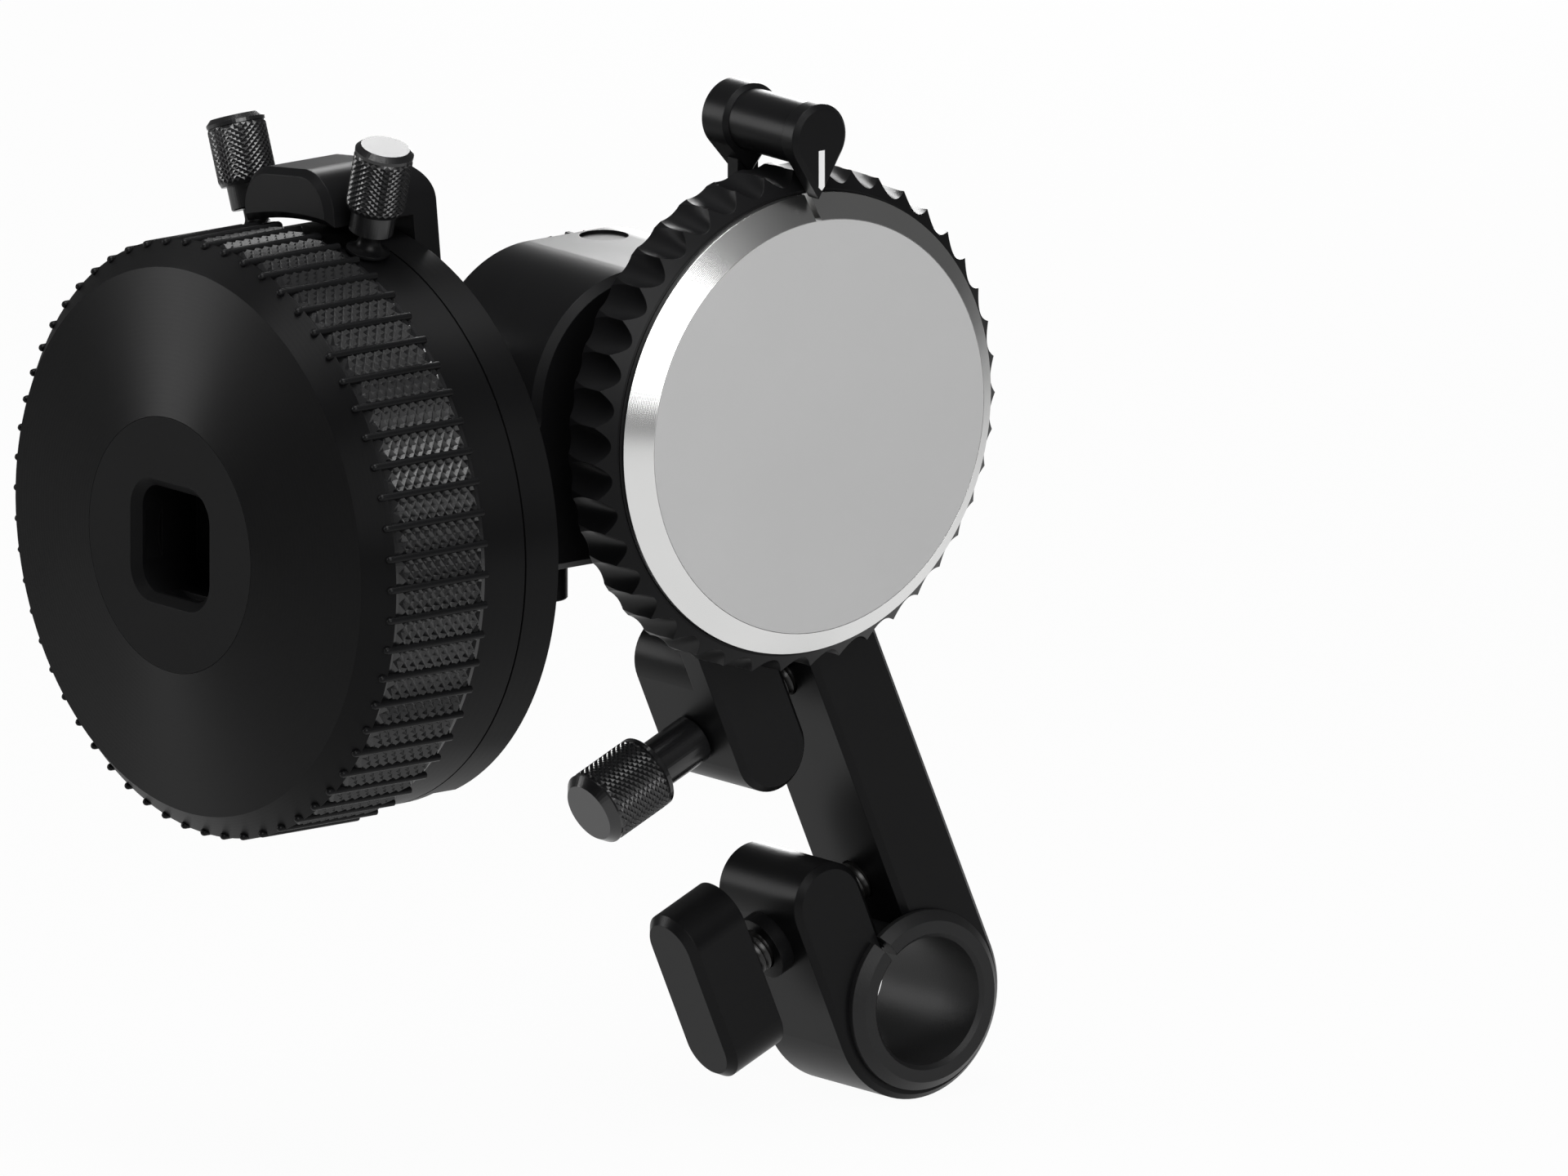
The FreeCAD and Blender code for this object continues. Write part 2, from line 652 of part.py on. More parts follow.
neck_screw_angles = (30.0, 150.0, 270.0)


def neck_screw_spot(angle):
    """One screw of the neck, from the wheel's axis, as seen along X."""
    turn = angle - d.pod_tilt
    return (d.neck_screw_pcd * cosine(turn), d.neck_screw_pcd * sine(turn))


def cover_screw_spots():
    """The four screws of the rear cover, in X and Z."""
    swing = d.boss_swing * math.sqrt(0.5)
    corner_z = top_z - d.body_round
    low_z = base_z + d.wall_t + d.boss_set
    return [
        (left_x + d.wall_t + d.boss_set, low_z),
        (right_x - d.wall_t - d.boss_set, low_z),
        (left_x + d.body_round - swing, corner_z + swing),
        (right_x - d.body_round + swing, corner_z + swing),
    ]


# ---- clamp arm ----

def clamp_arm():
    """Bar with a pinch clamp at each end, cut from one block."""
    body = new_body("clamp_arm", **arm_place)
    half = d.arm_slit / 2
    upper = d.arm_reach - d.upper_jaw_len
    blank = pad(body, outline(
        sketch_on(body, "XZ_Plane"),
        (-d.arm_end_r, 0.0),
        arc_to((0.0, 0.0), (d.arm_end_r, 0.0)),
        (d.arm_end_r, d.arm_reach),
        arc_to((0.0, d.arm_reach), (-d.arm_end_r, d.arm_reach)),
        (-d.arm_end_r, upper),
        arc_to((-jaw_mid, upper), (-half, upper)),
        (-half, d.arm_reach - d.slit_root),
        (half, d.arm_reach - d.slit_root),
        (half, d.slit_root),
        (-half, d.slit_root),
        (-half, d.lower_jaw_len),
        arc_to((-jaw_mid, d.lower_jaw_len), (-d.arm_end_r, d.lower_jaw_len)),
    ), d.arm_depth, both=True)
    front = -(d.arm_depth / 2)
    dress(body, "Chamfer", blank, edges_at(blank, "Y", front), d.arm_edge)
    horn_z = d.arm_reach - d.horn_drop
    clear = d.arm_end_r + 2
    pocket(body, outline(
        sketch_on(body, "XZ_Plane", lift=d.arm_depth / 2 - d.ring_depth),
        (-clear, horn_z),
        (-d.arm_end_r, horn_z),
        arc_to((-jaw_mid, horn_z), (-half, horn_z), left=False),
        (half, horn_z),
        arc_to((jaw_mid, horn_z), (d.arm_end_r, horn_z), left=False),
        (clear, horn_z),
        (clear, d.arm_reach + clear),
        (-clear, d.arm_reach + clear),
    ), d.arm_depth - d.ring_depth)
    lower_bore = circle(sketch_on(body, "XZ_Plane"), 0.0, 0.0, d.bush_r + d.seat_fit)
    pocket(body, lower_bore, both=True)
    upper_bore = circle(sketch_on(body, "XZ_Plane"), 0.0, d.arm_reach, d.stub_r + d.run_fit)
    pocket(body, upper_bore, both=True)
    screws = (
        (d.rod_screw_up, d.rod_screw_r, d.rod_screw_reach),
        (d.arm_reach - d.thumb_down, d.thumb_shank_r, d.thumb_reach),
    )
    for up, radius, reach in screws:
        hole = circle(sketch_on(body, "YZ_Plane", lift=-clear), 0.0, up, radius + d.run_fit)
        pocket(body, hole, clear + reach + d.bore_over, back=True)


def rod_bush():
    """Split plastic bush with a flange at the front."""
    body = new_body("rod_bush")
    front = -(d.arm_depth / 2) - d.bush_flange_t
    tail = d.arm_depth / 2 + d.bush_tail
    turned(body, "YZ_Plane", "H_Axis", (
        (front, d.rod_bore_r + d.bush_lead),
        (front, d.bush_flange_r - d.bush_edge),
        (front + d.bush_edge, d.bush_flange_r),
        (-(d.arm_depth / 2), d.bush_flange_r),
        (-(d.arm_depth / 2), d.bush_r),
        (tail, d.bush_r),
        (tail, d.rod_bore_r),
        (front + d.bush_lead, d.rod_bore_r),
    ))
    half = d.bush_split / 2
    split = outline(
        sketch_on(body, "XZ_Plane", turn=d.bush_split_angle),
        (d.rod_bore_r - 2, -half),
        (d.bush_flange_r + 2, -half),
        (d.bush_flange_r + 2, half),
        (d.rod_bore_r - 2, half),
    )
    pocket(body, split, both=True)


def rod_clamp_washer():
    """Washer between jaw and thread."""
    body = new_body("rod_clamp_washer", **arm_place)
    outer = -d.arm_end_r - d.washer_t
    turned(body, "XZ_Plane", "H_Axis", (
        (outer, d.rod_screw_r + d.run_fit),
        (outer, d.washer_r),
        (-d.arm_end_r, d.washer_r),
        (-d.arm_end_r, d.rod_screw_r + d.run_fit),
    ), up=d.rod_screw_up)


def rod_wing_knob():
    """Oval wing knob of the rod clamp."""
    body = new_body("rod_wing_knob", **arm_place)
    inner = -d.arm_end_r - d.washer_t - d.wing_gap
    outer = inner - d.wing_t
    half = d.wing_w / 2
    run = d.wing_len / 2 - half
    blank = pad(body, outline(
        sketch_on(body, "YZ_Plane", lift=outer, up=d.rod_screw_up),
        (half, -run),
        (half, run),
        arc_to((0.0, run), (-half, run)),
        (-half, -run),
        arc_to((0.0, -run), (half, -run)),
    ), d.wing_t)
    dress(body, "Chamfer", blank, edges_at(blank, "X", outer), d.wing_edge)
    seat = circle(sketch_on(body, "YZ_Plane", lift=inner, up=d.rod_screw_up),
                  0.0, 0.0, d.rod_screw_r + d.seat_fit)
    pocket(body, seat, d.wing_socket)


def rod_clamp_screw():
    """Screw fixed in the wing knob; it pulls the jaw to the bar."""
    body = new_body("rod_clamp_screw", **arm_place)
    head = -d.arm_end_r - d.washer_t - d.wing_gap - d.wing_socket
    turned(body, "XZ_Plane", "H_Axis", (
        (head, 0.0),
        (head, d.rod_screw_r),
        (d.rod_screw_reach - d.rod_screw_r / 4, d.rod_screw_r),
        (d.rod_screw_reach, d.rod_screw_r * 0.75),
        (d.rod_screw_reach, 0.0),
    ), up=d.rod_screw_up)


def arm_thumbscrew():
    """Thumb screw of the upper clamp: head, collar and thread in one piece."""
    body = new_body("arm_thumbscrew", **arm_place)
    collar_end = -d.arm_end_r - d.run_fit
    inner = -d.arm_end_r - d.thumb_collar_len
    outer = inner - d.thumb_head_t
    turned(body, "XZ_Plane", "H_Axis", (
        (outer, 0.0),
        (outer, d.thumb_head_r - d.thumb_edge),
        (outer + d.thumb_edge, d.thumb_head_r),
        (inner, d.thumb_head_r),
        (inner, d.thumb_collar_r),
        (collar_end, d.thumb_collar_r),
        (collar_end, d.thumb_shank_r),
        (d.thumb_reach - d.thumb_shank_r / 4, d.thumb_shank_r),
        (d.thumb_reach, d.thumb_shank_r * 0.75),
        (d.thumb_reach, 0.0),
    ), up=d.arm_reach - d.thumb_down)


# ---- gearbox housing ----

def chamber_outline(sketch, inset):
    """Outline of the gearbox block without its neck, moved in by an inset."""
    radius = d.body_round - inset
    low = base_z + inset
    high = top_z - inset
    left = left_x + inset
    right = right_x - inset
    return outline(
        sketch,
        (left, low),
        (right, low),
        (right, high - radius),
        arc_to((right - radius, high - radius), (right - radius, high)),
        (left + radius, high),
        arc_to((left + radius, high - radius), (left, high - radius)),
    )


def gearbox_body():
    """Housing with its neck, gear chamber, bearing seats and screw bosses."""
    body = new_body("gearbox_body")
    neck_top = base_z + d.neck_tall
    round_z = top_z - d.body_round
    blank = pad(body, outline(
        sketch_on(body, "XZ_Plane", lift=-d.body_front),
        (neck_x, base_z),
        (right_x - d.body_foot_round, base_z),
        arc_to((right_x - d.body_foot_round, base_z + d.body_foot_round),
               (right_x, base_z + d.body_foot_round)),
        (right_x, round_z),
        arc_to((right_x - d.body_round, round_z), (right_x - d.body_round, top_z)),
        (left_x + d.body_round, top_z),
        arc_to((left_x + d.body_round, round_z), (left_x, round_z)),
        (left_x, neck_top + d.neck_round),
        arc_to((left_x - d.neck_round, neck_top + d.neck_round),
               (left_x - d.neck_round, neck_top), left=False),
        (neck_x, neck_top),
    ), d.body_depth, back=True)
    dress(body, "Chamfer", blank, edges_at(blank, "Y", d.body_front), d.body_edge)
    recess = chamber_outline(sketch_on(body, "XZ_Plane", lift=-body_back), d.rim_t)
    pocket(body, recess, d.cover_t, back=True)
    chamber = chamber_outline(sketch_on(body, "XZ_Plane", lift=-cover_front), d.wall_t)
    pocket(body, chamber, cover_front - chamber_front, back=True)
    bosses = sketch_on(body, "XZ_Plane", lift=-cover_front)
    holes = sketch_on(body, "XZ_Plane", lift=-cover_front)
    for x, z in cover_screw_spots():
        circle(bosses, x, z, d.boss_r)
        circle(holes, x, z, d.m2_r + d.seat_fit)
    pad(body, bosses, d.boss_len)
    pocket(body, holes, d.cover_screw_in + d.bore_over, back=True)
    wheel_bore = circle(sketch_on(body, "YZ_Plane", lift=neck_x), wheel_y, wheel_z,
                        d.bearing_r + d.seat_fit)
    pocket(body, wheel_bore, d.neck_len + d.wall_t + d.bore_over, back=True)
    front_bore = circle(sketch_on(body, "XZ_Plane", lift=-d.body_front), axis_x, dial_z,
                        d.bearing_r + d.seat_fit)
    pocket(body, front_bore, d.front_wall_t + d.bore_over)
    lay_seat = circle(sketch_on(body, "XZ_Plane", lift=-chamber_front), axis_x, wheel_z,
                      d.bush_small_r + d.seat_fit)
    pocket(body, lay_seat, d.bush_small_t + d.seat_over, back=True)
    cap_seat = circle(sketch_on(body, "XY_Plane", lift=top_z), axis_x + d.cap_x, d.cap_y,
                      d.cap_r + d.run_fit)
    pocket(body, cap_seat, d.cap_seat)
    floor_holes = sketch_on(body, "XY_Plane", lift=base_z)
    circle(floor_holes, axis_x + d.pin_x, wheel_y, d.pin_r + d.run_fit)
    for side in (-0.5, 0.5):
        circle(floor_holes, stub_x + side * d.seat_screw_pitch, d.seat_screw_y,
               d.seat_screw_r + d.seat_fit)
    pocket(body, floor_holes, d.wall_t + d.bore_over, back=True)
    neck_holes = sketch_on(body, "YZ_Plane", lift=neck_x)
    for angle in neck_screw_angles:
        y, z = neck_screw_spot(angle)
        circle(neck_holes, wheel_y + y, wheel_z + z, d.m2_r + d.seat_fit)
    pocket(body, neck_holes, d.neck_screw_in + d.bore_over, back=True)
    anchor_holes = sketch_on(body, "XZ_Plane", lift=-d.body_front)
    for side in (-1, 1):
        circle(anchor_holes, axis_x + side * d.anchor_screw_x, dial_z, d.m2_r + d.seat_fit)
    pocket(body, anchor_holes, d.anchor_screw_in + d.seat_over)


def gearbox_cover():
    """Rear cover, let into the housing, with the rear bearing seats."""
    body = new_body("gearbox_cover")
    pad(body, chamber_outline(sketch_on(body, "XZ_Plane", lift=-body_back),
                              d.rim_t + d.run_fit), d.cover_t)
    boss = circle(sketch_on(body, "XZ_Plane", lift=-cover_front), axis_x, dial_z, d.cover_boss_r)
    pad(body, boss, d.bearing_t - d.cover_t)
    bore = circle(sketch_on(body, "XZ_Plane", lift=-body_back), axis_x, dial_z,
                  d.bearing_r + d.seat_fit)
    pocket(body, bore, d.bearing_t + d.bore_over, back=True)
    lay_seat = circle(sketch_on(body, "XZ_Plane", lift=-cover_front), axis_x, wheel_z,
                      d.bush_small_r + d.seat_fit)
    pocket(body, lay_seat, d.bush_small_t)
    sinks = sketch_on(body, "XZ_Plane", lift=-body_back)
    holes = sketch_on(body, "XZ_Plane", lift=-body_back)
    for x, z in cover_screw_spots():
        circle(sinks, x, z, d.m2_head_r + d.run_fit)
        circle(holes, x, z, d.m2_r + d.run_fit)
    pocket(body, sinks, d.m2_head_t, back=True)
    pocket(body, holes, d.cover_t, back=True)


def cover_screws():
    """Four socket screws of the rear cover."""
    seat_y = body_back - d.m2_head_t
    length = d.cover_t - d.m2_head_t + d.cover_screw_in
    group([
        socket_screw((x, seat_y, z), "-y", d.m2_head_r, d.m2_head_t, d.m2_r, length)
        for x, z in cover_screw_spots()
    ], "cover_screws")


def top_cap():
    """Round cap over the adjusting hole in the top face."""
    seat = (axis_x + d.cap_x, d.cap_y, top_z - d.cap_seat)
    named(rod(d.cap_r, d.cap_seat - d.cap_recess, seat, "+z"), "top_cap")


def clamp_stub():
    """Round stub, flat on top where the gearbox sits on it."""
    body = new_body("clamp_stub", x=stub_x, z=stub_z)
    pad(body, circle(sketch_on(body, "XZ_Plane"), 0.0, 0.0, d.stub_r), d.arm_depth, both=True)
    flat_top = outline(
        sketch_on(body, "XY_Plane", lift=d.stub_rise),
        (-d.stub_r, d.body_front),
        (d.stub_r, d.body_front),
        (d.stub_r, d.arm_depth / 2 + 1),
        (-d.stub_r, d.arm_depth / 2 + 1),
    )
    pocket(body, flat_top, d.stub_r, back=True)
    holes = sketch_on(body, "XY_Plane", lift=d.stub_rise)
    for side in (-0.5, 0.5):
        circle(holes, side * d.seat_screw_pitch, d.seat_screw_y, d.seat_screw_r + d.seat_fit)
    pocket(body, holes, d.seat_screw_in + d.bore_over)


def stub_screws():
    """Two screws that hold the stub from inside the gearbox."""
    seat_z = base_z + d.wall_t
    length = d.wall_t + d.seat_screw_in
    group([
        socket_screw((stub_x + side * d.seat_screw_pitch, d.seat_screw_y, seat_z), "-z",
                     d.m2_head_r, d.m2_head_t, d.seat_screw_r, length)
        for side in (-0.5, 0.5)
    ], "stub_screws")


def release_pin():
    """Spring-loaded release pin under the gearbox."""
    body = new_body("release_pin", x=axis_x + d.pin_x, y=wheel_y, z=base_z)
    turned(body, "XZ_Plane", "V_Axis", (
        (0.0, -d.pin_out),
        (d.pin_r - d.pin_edge, -d.pin_out),
        (d.pin_r, d.pin_edge - d.pin_out),
        (d.pin_r, d.wall_t),
        (d.pin_collar_r, d.wall_t),
        (d.pin_collar_r, d.wall_t + d.pin_collar_t),
        (0.0, d.wall_t + d.pin_collar_t),
    ))


def bearings():
    """Ball bearings of the two shafts and the lay shaft's bushes."""
    outer_x = neck_x + d.bearing_set
    group([
        tube(d.bearing_r, d.shaft_r + d.run_fit, d.bearing_t, (x, wheel_y, wheel_z), "+x")
        for x in (outer_x, outer_x + d.bearing_pitch)
    ], "wheel_bearings")
    group([
        tube(d.bearing_r, d.shaft_r + d.run_fit, d.bearing_t, (axis_x, y, dial_z), "+y")
        for y in (d.body_front, body_back - d.bearing_t)
    ], "drive_bearings")
    group([
        tube(d.bush_small_r, d.lay_r + d.run_fit, d.bush_small_t, (axis_x, y, wheel_z), "+y")
        for y in (chamber_front - d.bush_small_t, cover_front)
    ], "lay_bushes")


# ---- stop bracket, flange and stops ----

def stop_bracket():
    """Post between the two stops, on a plate that goes down behind the wheel."""
    body = new_body("stop_bracket", **wheel_place, axis=V(1, 0, 0), angle=-d.pod_tilt)
    half = d.pod_w / 2
    near = -half - d.pod_set
    far = half - d.pod_set
    shoulder = d.pod_top - d.pod_round
    plate_front = bracket_back - d.plate_t
    keep_low = d.pod_under - d.pod_keep
    pad(body, outline(
        sketch_on(body, "YZ_Plane", lift=d.pod_front),
        (near, keep_low),
        (far, keep_low),
        (far, shoulder),
        arc_to((far - d.pod_round, shoulder), (far - d.pod_round, d.pod_top)),
        (near + d.pod_round, d.pod_top),
        arc_to((near + d.pod_round, shoulder), (near, shoulder)),
    ), plate_front - d.pod_front)
    hollow = circle(sketch_on(body, "YZ_Plane", lift=d.pod_front),
                    -d.pod_set, d.pod_under - d.pod_hollow_r, d.pod_hollow_r)
    cut = pocket(body, hollow, plate_front - d.pod_front, back=True)
    dress(body, "Chamfer", cut, edges_at(cut, "X", d.pod_front), d.pod_edge)
    pad(body, outline(
        sketch_on(body, "YZ_Plane", lift=plate_front),
        (near, shoulder),
        (near, d.plate_bend),
        (-d.plate_end_r, 0.0),
        arc_to((0.0, 0.0), (d.plate_end_r, 0.0)),
        (far, d.plate_bend),
        (far, shoulder),
        arc_to((far - d.pod_round, shoulder), (far - d.pod_round, d.pod_top)),
        (near + d.pod_round, d.pod_top),
        arc_to((near + d.pod_round, shoulder), (near, shoulder)),
    ), d.plate_t)
    low = d.pod_top - d.pod_back_round
    wide = 1 - near
    turned_corner = outline(
        sketch_on(body, "XZ_Plane"),
        (bracket_back - d.pod_back_round, d.pod_top),
        arc_to((bracket_back - d.pod_back_round, low), (bracket_back, low), left=False),
        (bracket_back + 1, low),
        (bracket_back + 1, d.pod_top + 1),
        (bracket_back - d.pod_back_round, d.pod_top + 1),
    )
    pocket(body, turned_corner, 2 * wide, both=True)
    holes = sketch_on(body, "YZ_Plane", lift=plate_front)
    circle(holes, 0.0, 0.0, d.shaft_r + d.shaft_room)
    for angle in neck_screw_angles:
        circle(holes, d.neck_screw_pcd * cosine(angle), d.neck_screw_pcd * sine(angle),
               d.m2_r + d.run_fit)
    pocket(body, holes, d.plate_t, back=True)


def wheel_flange():
    """Fixed flange behind the wheel, flat underneath at the rear."""
    body = new_body("wheel_flange", **wheel_place)
    floor = flange_back - d.flange_floor_t
    bore = d.shaft_r + d.shaft_room
    turned(body, "XZ_Plane", "H_Axis", (
        (flange_front, d.band_r),
        (flange_back, d.band_r),
        (flange_back, d.flange_boss_r),
        (flange_back + d.flange_boss_t, d.flange_boss_r),
        (flange_back + d.flange_boss_t, bore),
        (floor, bore),
        (floor, d.band_r - d.flange_wall_t),
        (flange_front, d.band_r - d.flange_wall_t),
    ))
    flat_cut = outline(
        sketch_on(body, "XZ_Plane"),
        (flange_back - d.flange_flat_w, -d.flange_flat),
        (flange_back - d.flange_flat_w, -d.band_r - 1),
        (flange_back + 1, -d.band_r - 1),
        (flange_back + 1, -d.flange_flat),
    )
    pocket(body, flat_cut, 2 * d.band_r, both=True)
    holes = sketch_on(body, "YZ_Plane", lift=floor)
    for angle in neck_screw_angles:
        circle(holes, *neck_screw_spot(angle), d.m2_r + d.run_fit)
    pocket(body, holes, d.flange_floor_t + d.flange_boss_t, back=True)


def neck_screws():
    """Three screws through flange and bracket into the neck."""
    seat_x = hub_x + flange_back - d.flange_floor_t
    length = d.flange_floor_t + d.flange_boss_t + d.plate_t + d.neck_screw_in
    screws = []
    for angle in neck_screw_angles:
        y, z = neck_screw_spot(angle)
        seat = (seat_x, wheel_y + y, wheel_z + z)
        screws.append(socket_screw(seat, "+x", d.m2_head_r, d.m2_head_t, d.m2_r, length))
    group(screws, "neck_screws")


def lens_stop(name, lean):
    """One stop: a foot that rides on the stop ring and a knob that clamps it."""
    where = dict(x=hub_x + grip_end + d.band_w / 2, y=wheel_y, z=wheel_z)
    foot_z = d.band_r + d.stop_lift
    flare_z = foot_z + d.stop_foot_t
    waist_r = d.stop_foot_r - d.stop_flare
    waist_z = flare_z + d.stop_flare
    seat_z = waist_z + d.stop_waist_len
    stem_top = seat_z + d.stop_bore_len - d.seat_over
    foot = new_body(name + "_foot", **where, axis=V(1, 0, 0), angle=lean)
    turned(foot, "XZ_Plane", "V_Axis", (
        (0.0, foot_z),
        (d.stop_foot_r, foot_z),
        (d.stop_foot_r, flare_z),
        arc_to((d.stop_foot_r, waist_z), (waist_r, waist_z), left=False),
        (waist_r, seat_z),
        (d.stop_stem_r, seat_z),
        (d.stop_stem_r, stem_top),
        (0.0, stem_top),
    ))
    head_z = seat_z + d.run_fit + d.stop_collar_t
    head_top = head_z + d.stop_head_t
    bore_top = seat_z + d.stop_bore_len
    knob = new_body(name + "_knob", **where, axis=V(1, 0, 0), angle=lean)
    turned(knob, "XZ_Plane", "V_Axis", (
        (d.stop_stem_r + d.run_fit, seat_z + d.run_fit),
        (d.stop_collar_r, seat_z + d.run_fit),
        (d.stop_collar_r, head_z),
        (d.stop_head_r, head_z),
        (d.stop_head_r, head_top - d.stop_edge),
        (d.stop_head_r - d.stop_edge, head_top),
        (0.0, head_top),
        (0.0, bore_top),
        (d.stop_stem_r + d.run_fit, bore_top),
    ))


# ---- hand wheel ----

def wheel_hub_plate():
    """Hub with the square accessory socket and its detent groove."""
    body = new_body("wheel_hub_plate", **wheel_place)
    turned(body, "XZ_Plane", "H_Axis", (
        (0.0, 0.0),
        (0.0, d.hub_r),
        (d.hub_t, d.hub_r),
        (d.hub_t, d.hub_plug_r),
        (d.hub_plug_len, d.hub_plug_r),
        (d.hub_plug_len, 0.0),
    ))
    half = d.socket_w / 2
    flank = half - d.socket_round
    socket = pocket(body, outline(
        sketch_on(body, "YZ_Plane"),
        (half, -flank),
        (half, flank),
        arc_to((flank, flank), (flank, half)),
        (-flank, half),
        arc_to((-flank, flank), (-half, flank)),
        (-half, -flank),
        arc_to((-flank, -flank), (-flank, -half)),
        (flank, -half),
        arc_to((flank, -flank), (half, -flank)),
    ), d.socket_deep, back=True)
    mouth = edges_at(socket, "X", 0.0, lambda edge: edge.BoundBox.DiagonalLength < value_of(d.hub_r))
    dress(body, "Chamfer", socket, mouth, d.socket_edge)
    turned(body, "XZ_Plane", "H_Axis", (
        (d.groove_from, d.socket_w / 4),
        (d.groove_from + d.groove_w, d.socket_w / 4),
        (d.groove_from + d.groove_w, d.groove_r),
        (d.groove_from, d.groove_r),
    ), cut=True)
    hole = circle(sketch_on(body, "YZ_Plane", lift=d.hub_plug_len), 0.0, d.hub_screw_pcd,
                  d.m2_r + d.seat_fit)
    ring_of(body, pocket(body, hole, d.hub_screw_in), "X_Axis", 3)


def wheel_face():
    """Coned front piece of the wheel, clamped under the hub plate."""
    body = new_body("wheel_face", **wheel_place)
    turned(body, "XZ_Plane", "H_Axis", (
        (0.0, d.hub_r + d.run_fit),
        (d.cone_drop, d.cone_r),
        (d.face_t, d.wheel_r),
        (d.face_t, d.hub_plug_r + d.run_fit),
        (d.hub_t, d.hub_plug_r + d.run_fit),
        (d.hub_t, d.hub_r + d.run_fit),
    ))


def wheel_drum():
    """Cup that carries face, grip and stop ring, with the shaft's boss."""
    body = new_body("wheel_drum", **wheel_place)
    inner = d.drum_r - d.drum_wall_t
    back_inner = d.band_in_r - d.drum_wall_t
    web_back = d.hub_plug_len + d.web_t
    turned(body, "XZ_Plane", "H_Axis", (
        (d.face_t, inner),
        (d.face_t, d.drum_r),
        (grip_end, d.drum_r),
        (grip_end, d.band_in_r),
        (band_end, d.band_in_r),
        (band_end, back_inner),
        (web_back, back_inner),
        (web_back, d.drum_boss_r),
        (web_back + d.drum_boss_t, d.drum_boss_r),
        (web_back + d.drum_boss_t, d.shaft_r + d.seat_fit),
        (d.hub_plug_len, d.shaft_r + d.seat_fit),
        (d.hub_plug_len, inner),
    ))
    hole = circle(sketch_on(body, "YZ_Plane", lift=web_back), 0.0, d.hub_screw_pcd,
                  d.m2_r + d.run_fit)
    ring_of(body, pocket(body, hole, d.web_t), "X_Axis", 3)


def wheel_grip():
    """Grip sleeve with round ribs along its length."""
    body = new_body("wheel_grip", **wheel_place)
    turned(body, "XZ_Plane", "H_Axis", (
        (d.face_t, d.drum_r),
        (d.face_t, d.grip_r),
        (grip_end, d.grip_r),
        (grip_end, d.drum_r),
    ))
    rib = pad(body, circle(sketch_on(body, "YZ_Plane", lift=d.face_t), 0.0,
                           d.rib_crest_r - d.rib_r, d.rib_r), d.grip_w)
    ring_of(body, rib, "X_Axis", d.rib_count)


def stop_ring():
    """Smooth ring behind the grip that the stops clamp to."""
    body = new_body("stop_ring", **wheel_place)
    turned(body, "XZ_Plane", "H_Axis", (
        (grip_end, d.band_in_r),
        (grip_end, d.band_r),
        (band_end, d.band_r),
        (band_end, d.band_in_r),
    ))


def wheel_shaft():
    """Shaft from the wheel's drum to the first bevel gear."""
    body = new_body("wheel_shaft", **wheel_place)
    heel = d.bevel_r - d.bevel_hub_r
    gear_back = axis_x - hub_x - (d.bevel_r + d.bevel_gap + heel + d.bevel_hub_t)
    gear_front = axis_x - hub_x - (d.bevel_r - d.bevel_face + d.bevel_gap)
    turned(body, "XZ_Plane", "H_Axis", (
        (d.hub_plug_len, 0.0),
        (d.hub_plug_len, d.shaft_r),
        (gear_back, d.shaft_r),
        (gear_back, d.lay_r),
        (gear_front, d.lay_r),
        (gear_front, 0.0),
    ))


def hub_screws():
    """Three screws that hold the hub from inside the drum."""
    seat_x = hub_x + d.hub_plug_len + d.web_t
    screws = []
    for angle in (90.0, 210.0, 330.0):
        y = wheel_y + d.hub_screw_pcd * cosine(angle)
        z = wheel_z + d.hub_screw_pcd * sine(angle)
        screws.append(socket_screw((seat_x, y, z), "-x", d.m2_head_r, d.m2_head_t, d.m2_r,
                                   d.web_t + d.hub_screw_in - d.seat_over))
    group(screws, "hub_screws")


# ---- gears and shafts ----

def bevel_gear(label, plane, sign, axis_role, slot_plane):
    """Bevel gear whose pitch cone has its tip where the two shafts cross."""
    body = new_body(label, x=axis_x, y=wheel_y, z=wheel_z)
    outer = d.bevel_r + d.bevel_gap
    inner = outer - d.bevel_face
    heel = d.bevel_r - d.bevel_hub_r
    back = outer + heel + d.bevel_hub_t
    turned(body, plane, "H_Axis", (
        (sign * inner, d.lay_r + d.seat_fit),
        (sign * inner, d.bevel_r - d.bevel_face),
        (sign * outer, d.bevel_r),
        (sign * (outer + heel), d.bevel_hub_r),
        (sign * back, d.bevel_hub_r),
        (sign * back, d.lay_r + d.seat_fit),
    ))
    half = d.bevel_slot / 2
    space = outline(
        sketch_on(body, slot_plane),
        (-half, d.bevel_floor),
        (half, d.bevel_floor),
        (half, d.bevel_r + 1),
        (-half, d.bevel_r + 1),
    )
    along = sign > 0 if slot_plane == "YZ_Plane" else sign < 0
    ring_of(body, pocket(body, space, outer + heel, back=along), axis_role, d.bevel_teeth)


def involute(radius, base_radius):
    """Angle that the tooth's flank has turned through at a radius."""
    if radius <= base_radius:
        return 0.0
    pressure = math.acos(base_radius / radius)
    return math.tan(pressure) - pressure


